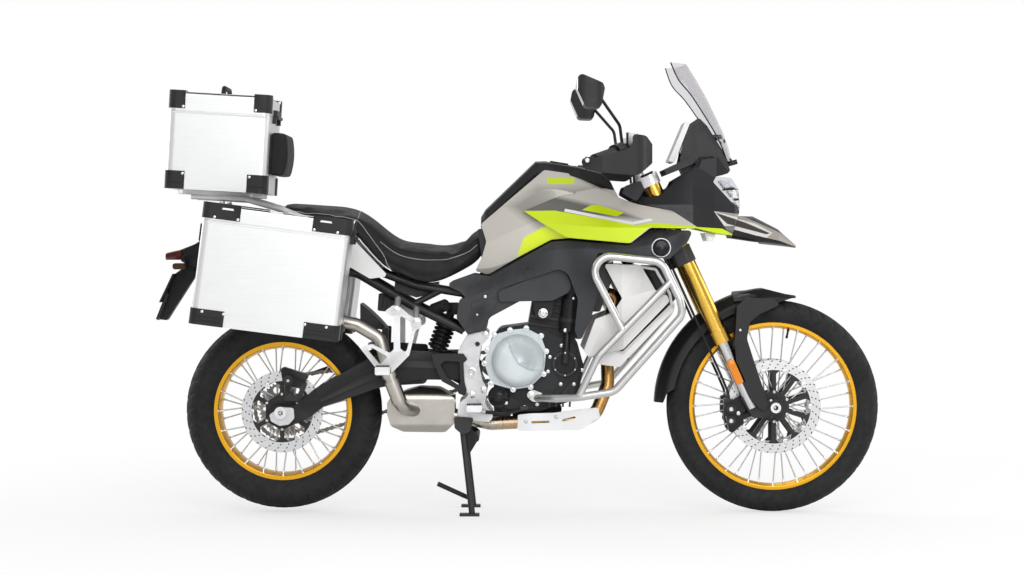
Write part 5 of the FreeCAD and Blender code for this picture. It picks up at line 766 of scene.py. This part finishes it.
def tread_depth(turn, y, half_tread, blocks, depth):
    """How far the tread is sunk: V grooves, a ring groove on each side and short cuts inside it."""
    across = abs(y) / half_tread
    if across > 1.12:
        return 0.0
    cell = (turn * blocks + 0.75 * across + (0.5 if y > 0 else 0.0)) % 1.0
    groove = min(1.0, 2.2 * max(0.0, 1 - abs(cell - 0.5) / 0.13)) if across > 0.16 else 0.0
    ring = 0.8 if 0.42 < across < 0.54 else 0.0
    cut = 1.0 if 0.10 < across < 0.18 and cell > 0.3 else 0.0
    return depth * max(groove, ring, cut)


def treaded_tyre(name):
    """A whole tyre: sidewall and crown follow the CAD tyre's sizes, with sunk grooves."""
    wheel = WHEELS[name]
    width = wheel["half_w"] * 0.985
    crown = wheel["tyre_r"] - 0.6
    side_r = wheel["bead_r"] + 6
    centre_r = side_r + (crown - side_r) * 0.46
    turned_in = math.radians(26)
    rows = []
    for i in range(41):
        a = math.radians(-116 + 5.8 * i)
        if abs(a) <= math.pi / 2:
            y = width * math.sin(a)
            r = centre_r + (crown - centre_r) * math.cos(a) ** 0.86
        else:
            y = width * math.copysign(1 - 0.22 * ((abs(a) - math.pi / 2) / turned_in) ** 2, a)
            r = centre_r + (centre_r - side_r) * math.cos(a) / math.sin(turned_in)
        rows.append((y, r))
    tyre = Piece(name + "_tyre_tread", name + "_wheel", "tyre", "tyre")
    steps = wheel["blocks"] * 12
    rings = []
    for step in range(steps):
        turn = step / steps
        ring = []
        for y, r in rows:
            if r > (side_r + crown) / 2:
                r -= tread_depth(turn, y, wheel["half_w"] * 0.86, wheel["blocks"], wheel["groove"])
            ring.append(around(wheel["axle"], r, 360 * turn, y))
        rings.append(tyre.points(ring))
    tyre.bridge(rings + rings[:1], wrap=False)
    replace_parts(tyre.done(40), name + "_tyre")


# Nipples, rivets and bolts on the wheels and discs

NIPPLE = [(4.8, -1), (4.8, 2), (3.6, 3), (3.4, 13), (2.6, 16), (0, 16)]
RIVET = [(8.5, -0.4), (8.5, 1.6), (7.2, 2.2), (5.4, 2.2), (5.0, 0.6), (2.6, 0.5), (2.2, 1.4), (0, 1.4)]
VALVE = [(5, -2), (5, 6), (3.4, 9), (3.4, 24), (4.2, 24), (4.2, 32), (0, 33)]
SIX_BOLTS = range(30, 390, 60)


def wheel_fittings(name):
    """Nipples where the spokes meet the rim, and the discs' rivets and bolts."""
    wheel = WHEELS[name]
    axle = wheel["axle"]
    nipples = Piece(name + "_nipples", name + "_wheel")
    for side in (-1, 1):
        for i in range(SPOKES_PER_SIDE):
            turn = 1 if i % 2 else -1
            at_rim = 360 / SPOKES_PER_SIDE * i + (9 if side > 0 else 0)
            tip = around(axle, wheel["nipple_r"], at_rim, side * wheel["nipple_y"])
            hub_y = side * (wheel["flange_y"] - 3.2 * turn)
            hub_end = around(axle, wheel["flange_r"] - 3, at_rim + SPOKE_LEAN * turn, hub_y)
            nipples.lathe(tip, hub_end - tip, NIPPLE, 8)
    nipples.done(50)
    rivets = Piece(name + "_disc_rivets", name + "_wheel")
    for side in wheel["disc_sides"]:
        for i in range(wheel["arms"]):
            place = around(axle, wheel["band_r"], 360 * i / wheel["arms"], side * wheel["disc_y"])
            rivets.lathe(place, (0, side, 0), RIVET, 18)
        for degrees in SIX_BOLTS:
            place = around(axle, wheel["bolt_circle_r"], degrees, side * wheel["disc_y"])
            rivets.button(place, (0, side, 0), 5.5, 4.0)
    rivets.done(40)


for name in WHEELS:
    treaded_tyre(name)
for name in WHEELS:
    wheel_fittings(name)

valve = Piece("front_tyre_valve", "front_wheel", "strap_black", "tyre")
valve_foot = around(FRONT_AXLE, 258, 78)
valve.lathe(valve_foot, around(FRONT_AXLE, 0, 0) - valve_foot, VALVE, 12)
valve.done()


# Screws and bolts on the chassis and fork

def skin(node, x, z, side):
    """Outermost Y of a node at a place seen from one side, in millimetres, or None beside it."""
    start = Vector((x / 1000, side * 0.7, z / 1000))
    hit, place = NODES[node].ray_cast(start, Vector((0, -side, 0)))[:2]
    return place.y * 1000 if hit and place.y * side > 0.02 else None


def seat_bolts(piece, groups, sides=(-1, 1)):
    """Bolts on the outer faces of nodes, in groups of a node, a form and (x, z, radius) spots."""
    for side in sides:
        for node, form, spots in groups:
            for x, z, radius in spots:
                y = skin(node, x, z, side)
                if y is not None:
                    form(piece, (x, y, z), (0, side, 0), radius)
    piece.done(40)


def ring_of(centre, places, radius):
    """Spots round a centre, from (degrees, reach) pairs."""
    points = [around(centre, reach, degrees) for degrees, reach in places]
    return [(point.x, point.z, radius) for point in points]


def near(axle, spots):
    """Spots given from an axle."""
    return [(axle[0] + x, axle[1] + z, radius) for x, z, radius in spots]


def screws():
    hexagon = Piece.hexagon
    button = Piece.button
    clutch_cover = [
        (18, 95), (47, 108), (76, 107), (105, 101), (133, 113), (161, 106),
        (185, 109), (220, 115), (260, 95), (295, 94), (332, 93),
    ]
    block = [
        (139, 550), (95, 466), (136, 425), (179, 425), (205, 470), (101, 513), (150, 600),
        (60, 360), (20, 352), (-40, 366), (177, 701), (120, 380),
    ]
    seat_bolts(Piece("engine_cover_screws"), [
        ("engine", hexagon, ring_of(CLUTCH_CENTRE, clutch_cover, 4.8)),
        ("engine", hexagon, [(x, z, 4.6) for x, z in block]),
        ("engine", button, ring_of((150, 491), [(degrees, 36.5) for degrees in SIX_BOLTS], 3.0)),
        ("exhaust_pipes", button, [(24, 304, 6.5), (122, 318, 6.5)]),
    ], (-1,))
    left_cover = [(math.degrees(0.4 + 0.9 * i), 96) for i in range(7)]
    left_cover = ring_of(CLUTCH_CENTRE, left_cover, 4.8)
    seat_bolts(Piece("left_cover_screws"), [("engine", hexagon, left_cover)], (1,))
    seat_bolts(Piece("frame_bolts"), [
        ("side_plates", hexagon, [(-106, 586, 8), (-113, 408, 8), (-149, 392, 8), (-143, 346, 8)]),
        ("frame", hexagon, [(79, 655, 12)]),
        ("crash_bars", hexagon, [(40, 391, 9)]),
        ("footrests", hexagon, [(-391, 667, 8), (-328, 628, 9)]),
        ("frame_covers", button, [(-107, 709, 6), (-133, 651, 4)]),
    ])
    seat_bolts(Piece("frame_bolts_black", "chassis", "bolt_black", "frame_black"), [
        ("side_plates", button, [(-132, 556, 8)]),
        ("footrests", button, [(-288, 511, 7), (-190, 400, 4)]),
        ("frame_covers", button, [(300, 850, 6), (30, 800, 5)]),
    ])
    # The spindle's end lies in a bore, so the plate's face is taken beside it
    pivot = Piece("pivot_rings")
    ring = [(15, -0.5), (15, 2.2), (12.5, 3), (11.5, 1.2), (7.5, 1.2), (7, 0), (5, -0.3), (0, -0.3)]
    for side in (-1, 1):
        pivot.lathe((-151, skin("side_plates", -135, 464, side), 464), (0, side, 0), ring, 28)
    pivot.done(40)
    seat_bolts(Piece("fork_bolts", "steering", slot="fork_steel"), [
        ("front_calipers", button, near(FRONT_AXLE, [(-142, -44, 8), (-142, -6, 8)])),
        ("front_calipers", hexagon, near(FRONT_AXLE, [(-118, -20, 5)])),
        ("hand_guards", button, [(213, 1138, 8)]),
        ("fork_legs", hexagon, near(FRONT_AXLE, [(0, 0, 9)])),
        ("fork_legs", button, near(FRONT_AXLE, [(-16, 24, 4.5)])),
        ("front_fender", button, [(742, 560, 5), (716, 600, 5)]),
    ])
    seat_bolts(Piece("rear_axle_nuts", slot="fork_steel"), [
        ("swinging_arm", hexagon, near(REAR_AXLE, [(-4, 0, 11)])),
        ("swinging_arm", button, [(-746, 435, 6), (-669, 435, 5)]),
    ])
    yoke = Piece("yoke_bolts", "steering", slot="fork_steel")
    for ahead, y in ((46, 118), (4, 60)):
        yoke.button(fork_place(ahead, y, 856), (-math.sin(FORK_LEAN), 0, math.cos(FORK_LEAN)), 6)
    yoke.done(40, mirrored=True)


def fork_rings():
    """Three thin rings round each fork tube."""
    rings = Piece("fork_collar_rings", "steering", "gold_fork", "gold_fork")
    foot = fork_place(FORK_AHEAD, FORK_SPREAD, 0)
    axis = fork_place(FORK_AHEAD, FORK_SPREAD, 1) - foot
    for along in (268, 284, 302):
        profile = [(26.7, along), (28.0, along + 0.8), (28.0, along + 3.2), (26.7, along + 4)]
        rings.lathe(foot, axis, profile, 36)
    rings.done(50, mirrored=True)


def reflectors():
    """Long amber reflectors on the fork guards."""
    amber = Piece("fork_guard_reflectors", "steering", "lamp_amber", "lamp_lens")
    rings = []
    for grow, out in ((1.0, -0.6), (1.0, 2.4), (0.86, 4.2), (0.5, 5.0)):
        ring = []
        for i in range(28):
            a = 2 * math.pi * i / 28
            along = 13 * grow * math.sin(a) + math.copysign(31 * min(1, 1.2 * grow), math.sin(a))
            x, z = turned(13 * grow * math.cos(a), along, -FORK_LEAN)
            ring.append((699 + x, 134 + out, 465 + z))
        rings.append(amber.points(ring))
    rings.append(amber.points([(699, 134 + 5.2, 465)]))
    amber.bridge(rings)
    amber.done(50, mirrored=True)


screws()
fork_rings()
reflectors()


# Seat, in metres where its cover is made

COVER_VOXEL = 0.0075
COVER_INSET = 0.0035
COVER_SWELL = 0.007
COVER_PRESSURE = 4.0
SWELL_FRAMES = 20


def swell(thing):
    """Blow the closed cover up a little as cloth, its underside held, no point moved beyond COVER_SWELL."""
    mesh = thing.data
    held = thing.vertex_groups.new(name="held")
    held.add([v.index for v in mesh.vertices if v.normal.z < -0.55], 1.0, "REPLACE")
    cloth = thing.modifiers.new("swell", "CLOTH")
    settings = cloth.settings
    settings.use_pressure = True
    settings.uniform_pressure_force = COVER_PRESSURE
    settings.effector_weights.gravity = 0
    settings.vertex_group_mass = "held"
    settings.tension_stiffness = 30
    settings.compression_stiffness = 30
    settings.bending_stiffness = 8
    scene = bpy.context.scene
    for step in range(SWELL_FRAMES):
        scene.frame_set(step + 1)
    graph = bpy.context.evaluated_depsgraph_get()
    moved = [v.co.copy() for v in thing.evaluated_get(graph).data.vertices]
    thing.modifiers.remove(cloth)
    for v, end in zip(mesh.vertices, moved):
        step = end - v.co
        if step.length > COVER_SWELL:
            step = step.normalized() * COVER_SWELL
        v.co = v.co + step
    scene.frame_set(1)


def soften(thing):
    """Round a soft piece off."""
    soft = thing.modifiers.new("soft", "SUBSURF")
    soft.levels = 1
    soft.render_levels = 1


def seat_cover():
    """The seat's form drawn in, rounded off and blown up again."""
    mesh = NODES["seat"].data.copy()
    mesh.name = "rider_and_passenger_seat"
    thing = link("rider_and_passenger_seat", mesh)
    bpy.context.view_layer.objects.active = thing
    thing.select_set(True)
    mesh.remesh_voxel_size = COVER_VOXEL
    bpy.ops.object.voxel_remesh()
    thing.select_set(False)
    bm = bmesh.new()
    bm.from_mesh(mesh)
    for turn in range(6):
        bmesh.ops.smooth_vert(
            bm, verts=bm.verts, factor=0.5, use_axis_x=True, use_axis_y=True, use_axis_z=True
        )
    bm.normal_update()
    for v in bm.verts:
        v.co -= v.normal * COVER_INSET
    bm.to_mesh(mesh)
    bm.free()
    swell(thing)
    mesh.materials.clear()
    mesh.materials.append(MATERIALS["seat_cover"])
    mesh.shade_smooth()
    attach(thing, "chassis")
    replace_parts(thing, "seat")
    soften(thing)
    return thing


def on_surface(thing, points, lift):
    """The places of a piece nearest to some points, lifted off it, in millimetres."""
    out = []
    for point in points:
        place, normal = thing.closest_point_on_mesh(Vector(point) / 1000)[1:3]
        out.append(place * 1000 + normal * lift)
    return out


def between(points):
    """Eight steps for each pair of points, on a smooth curve through all of them."""
    points = [Vector(point) for point in points]
    out = []
    for p0, p1, p2, p3 in zip(points[:1] + points, points, points[1:], points[2:] + points[-1:]):
        for k in range(8):
            t = k / 8
            square = (2 * p0 - 5 * p1 + 4 * p2 - p3) * t * t
            cube = (3 * p1 - p0 - 3 * p2 + p3) * t * t * t
            out.append(0.5 * (2 * p1 + (p2 - p0) * t + square + cube))
    return out + points[-1:]


def seat():
    """The padded seat with its seams, and a light trim low on its flanks."""
    cushion = seat_cover()
    trim = Piece("seat_edge_trim", "chassis", "label_white", "case_aluminium")
    edge = [(-530, 150, 886), (-500, 152, 858), (-470, 153, 826), (-440, 153, 795), (-420, 150, 772)]
    trim.tube(on_surface(cushion, between(edge), 2.0), 2.6, 6)
    trim.done(60, mirrored=True)
    seams = Piece("seat_seams", "chassis", "stitch_grey", "seat_cover")
    for line in (
        between([(-520, 150, 972), (-500, 152, 948), (-470, 153, 905), (-440, 154, 850), (-415, 150, 795)]),
        between([
            (-132, 92, 878), (-160, 112, 862), (-220, 132, 838),
            (-300, 146, 832), (-380, 150, 850), (-440, 150, 893),
        ]),
        between([(-520, 138, 960), (-600, 138, 978), (-690, 134, 986), (-755, 124, 990)]),
        [(-505, y, 1010 - 0.0009 * y * y) for y in range(0, 146, 12)],
    ):
        seams.tube(on_surface(cushion, line, 0.2), 1.5, 6)
    seams.done(60, mirrored=True)


def backrest():
    """The pad on the top case: a bowed face with two dips, its edges turned in."""
    pad = Piece("backrest_pad", "chassis", "seat_cover", "seat_cover")
    rows = 24
    cols = 48
    rings = []
    for i in range(rows + 1):
        t = i / rows
        places = []
        for j in range(cols + 1):
            s = -1 + 2 * j / cols
            y = 133.5 * s
            edge = max(abs(s) ** 14, abs(2 * t - 1) ** 10)
            dip = 1.6 * math.exp(-((abs(y) - 62) / 7) ** 2)
            places.append((212.5 + 9 * math.sin(math.pi * t) - 6 * edge - dip, y))
        places += [(166, y) for along, y in places[::-1]]
        rings.append(pad.points(case_place(TOP_CASE, along, y, 62.5 + 137 * t) for along, y in places))
    pad.bridge(rings)
    for ring in (rings[0], rings[-1]):
        for j in range(cols):
            pad.bm.faces.new((ring[j], ring[j + 1], ring[-2 - j], ring[-1 - j]))
    soften(pad.done(180))


seat()
backrest()


# Cases: rivets, plain labels, ridges and seam beads

# Material, slot, how far the strips stand proud, and their height
STRIPS = {
    "labels": ("label_white", "case_aluminium", 0.7, 6),
    "ridges": ("black_plastic", "black_plastic", 1.4, 5),
}
STUD = [(4.6, -0.4), (4.4, 0.5), (3, 0.9), (0, 1.0)]


def case_fittings(name, body, place, faces, studs, kind=None, strips=()):
    """On the guards of one case or lid: rivets at (along, up) and strips at (start, end, up)."""
    rivets = Piece(name + "_rivets", body)
    for y in faces:
        for along, up in studs:
            rivets.lathe(case_place(place, along, y, up), (0, y, 0), STUD, 12)
    rivets.done(40)
    if not kind:
        return
    material, slot, proud, height = STRIPS[kind]
    piece = Piece(name + "_" + kind, body, material, slot)
    for y in faces:
        side = math.copysign(1, y)
        for start, end, up in strips:
            corners = ((start, up), (end, up), (end - 3, up + height), (start + 3, up + height))
            outline = [case_place(place, along, 0, rise) for along, rise in corners]
            piece.plate([(point.x, point.z) for point in outline], y - side * 0.4, y + side * proud)
    piece.done(40, bevel=0.5)


def cases():
    low_studs = [(along, 42) for along in (-194, -127, 127, 194)]
    lid_studs = [(along, 337) for along in (-192, -119, 119, 192)]
    ridges = [(start, start + 90, up) for start in (-222, 132) for up in (12, 24)]
    labels = [(-172, -134, 363), (134, 172, 363)]
    both = (-PANNIER_GUARD_Y, PANNIER_GUARD_Y)
    case_fittings("pannier_guards", "chassis", PANNIER, both, low_studs, "ridges", ridges)
    for side, y in (("right", both[:1]), ("left", both[1:])):
        case_fittings(side + "_lid_guards", "pannier_lid_" + side, PANNIER, y, lid_studs, "labels", labels)
    both = (-TOP_CASE_GUARD_Y, TOP_CASE_GUARD_Y)
    ridges = [(-156, -106, 18), (106, 156, 18)]
    case_fittings("top_case_guards", "chassis", TOP_CASE, both, [(-107, 50), (107, 50)], "ridges", ridges)
    case_fittings("top_lid_guards", "top_case_lid", TOP_CASE, both, [(-116, 264), (116, 264)])
    beads = Piece("case_seam_beads", "chassis", "case_aluminium", "case_aluminium")
    beads.tube([case_place(PANNIER, along, 476.4, 321) for along in range(-215, 216, 43)], 2.4, 8)
    beads.tube([case_place(TOP_CASE, along, 200.4, 245) for along in range(-150, 151, 30)], 2.4, 8)
    beads.done(60, mirrored=True)


cases()


# Dark plates of painted shade behind gaps in the bodywork, headlamp insides, brackets and footrest rubbers

def plates(name, material, slot, forms, bevel=0.0):
    """Flat pieces on both sides of the chassis, each given as two Y values and an outline."""
    piece = Piece(name, "chassis", material, slot)
    for y_low, y_high, outline in forms:
        piece.plate(outline, y_low, y_high)
    piece.done(40, mirrored=True, bevel=bevel)


def footrest_teeth(low_x, high_x, z):
    """Outline of a rubber with seven teeth on its top."""
    teeth = [(low_x, z - 7)]
    pitch = (high_x - low_x) / 7
    for i in range(7):
        start = low_x + pitch * i
        end = low_x + pitch * (i + 0.6)
        teeth += [(start, z + 5), (end, z + 5), (end + 0.5, z + 2.5)]
    return teeth + [(high_x, z + 2.5), (high_x, z - 7)]


# Black plates close behind the gaps between tank, covers and fairings, so the gaps read dark: painted shade
plates("gap_shade_plates", "black_plastic", "black_plastic", [
    (96, 100, [
        (-132, 925), (-95, 935), (-70, 850), (60, 915), (270, 915), (290, 870),
        (120, 868), (-20, 800), (-60, 778), (-112, 775),
    ]),
    (150, 153, [(409, 808), (469, 805), (506, 701), (488, 682), (330, 525), (308, 532), (450, 723)]),
])
plates("headlamp_reflectors", "lamp_glass", "lamp_lens", [
    (18, 88, [(648, 1084), (684, 1082), (698, 1062), (668, 1058)]),
    (18, 88, [(676, 1051), (702, 1055), (711, 1026), (696, 1024)]),
    (18, 88, [(700, 1018), (713, 1020), (715, 1000), (711, 998)]),
], bevel=2.5)
plates("headlamp_dividers", "black_plastic", "black_plastic", [
    (16, 92, [(664, 1056), (700, 1060), (703, 1057), (668, 1053)]),
    (16, 92, [(694, 1022), (712, 1024), (713, 1021), (698, 1019)]),
])
plates("nose_side_brackets", "silver_alloy", "silver_alloy", [
    (88, 92, [(602, 914), (640, 911), (632, 890), (612, 886)]),
], bevel=0.8)
plates("footrest_rubbers", "strap_black", "black_plastic", [
    (176, 261, footrest_teeth(-165, -117, 361)),
    (214, 289, footrest_teeth(-454, -410, 485)),
])


# Fog lamp rings and screen trim

fog_ring = Piece("fog_lamp_rings", "chassis", "label_white", "lamp_lens")
fog_profile = [(31, -12), (31, 1.5), (30.1, 2.4), (26.4, 2.4), (25.6, 1), (25.6, -12)]
fog_ring.lathe((FOG_LAMP[0], 250, FOG_LAMP[1]), (0, 1, 0), fog_profile, 40)
fog_ring.done(40, mirrored=True)

screen_edge = Piece("screen_edge_trim", "chassis", "gloss_black", "black_plastic")
screen_edge.tube(between([
    (682, 62, 1136), (660, 92, 1190), (630, 116, 1245),
    (560, 152, 1350), (514, 166, 1405), (490, 142, 1462),
]), 2.2, 8)
screen_edge.done(60, mirrored=True)

screen_screws = Piece("screen_screws", "chassis", "bolt_black", "frame_black")
for z, x in ((1150, 690), (1212, 668)):
    screen_screws.button((x, 60, z), (1, 0.45, 0.4), 7, 4)
screen_screws.done(40, mirrored=True)


# Studio, in metres

LAMP_AIM = Vector((0, 0, 0.7))


def soft_lamp(name, location, size, power):
    lamp = bpy.data.lights.new(name, "AREA")
    lamp.size = size
    lamp.energy = power
    thing = link(name, lamp)
    thing.location = location
    thing.rotation_euler = (LAMP_AIM - Vector(location)).to_track_quat("-Z", "Y").to_euler()


def sees_background(nodes, links):
    """1 for rays that come from the camera or through glass, 0 for the rest."""
    rays = nodes.new("ShaderNodeLightPath")
    either = nodes.new("ShaderNodeMath")
    either.operation = "MAXIMUM"
    links.new(rays.outputs["Is Camera Ray"], either.inputs[0])
    links.new(rays.outputs["Is Transmission Ray"], either.inputs[1])
    return either.outputs[0]


def blend(nodes, links, share, plain, bright, output):
    """Show a bright shader in place of a plain one by a share."""
    mix = nodes.new("ShaderNodeMixShader")
    for socket, source in zip(mix.inputs, (share, plain.outputs[0], bright.outputs[0])):
        links.new(source, socket)
    links.new(mix.outputs[0], nodes[output].inputs["Surface"])


def studio():
    """White world and floor, a little darker to the machine than to the camera, and four soft lamps."""
    world = bpy.data.worlds.new("studio_world")
    bpy.context.scene.world = world
    world.use_nodes = True
    nodes = world.node_tree.nodes
    links = world.node_tree.links
    plain = nodes["Background"]
    bright = nodes.new("ShaderNodeBackground")
    for background, strength in ((plain, 0.6), (bright, 1.0)):
        background.inputs["Color"].default_value = (1, 1, 1, 1)
        background.inputs["Strength"].default_value = strength
    blend(nodes, links, sees_background(nodes, links), plain, bright, "World Output")

    bpy.ops.mesh.primitive_plane_add(size=60, location=(0, 0, 0))
    floor = bpy.context.object
    floor.name = "studio_floor"
    m = Shader("studio_floor_white", (0.93, 0.93, 0.93), 0.9)
    place = m.axes()
    away = m.to_range(m.length(place["X"], place["Y"]), 1.6, 3.2, 0.62, 1.0)
    share = m.times(sees_background(m.nodes, m.links), away)
    glow = m.node("Emission", {"Color": (1, 1, 1)})
    blend(m.nodes, m.links, share, m.bsdf, glow, "Material Output")
    floor.data.materials.append(m.mat)

    soft_lamp("key", (1.0, -5.5, 3.2), 4.0, 190)
    soft_lamp("left", (-4.5, 2.5, 2.6), 3.0, 70)
    soft_lamp("front", (4.5, 0.5, 2.5), 2.5, 60)
    soft_lamp("back", (0, 4.5, 5.5), 3.0, 45)


def camera():
    data = bpy.data.cameras.new("photo_camera")
    data.sensor_width = SENSOR
    data.lens = SENSOR * VIEW_DISTANCE / (METRES_PER_PIXEL * IMAGE_WIDTH)
    thing = link("photo_camera", data)
    thing.location = VIEW_CENTRE + Vector(
        (0, -VIEW_DISTANCE * math.cos(VIEW_ELEVATION), VIEW_DISTANCE * math.sin(VIEW_ELEVATION))
    )
    thing.rotation_euler = (math.pi / 2 - VIEW_ELEVATION, 0, 0)
    bpy.context.scene.camera = thing


studio()
camera()
bpy.context.scene.view_settings.view_transform = "Standard"
bpy.context.view_layer.update()
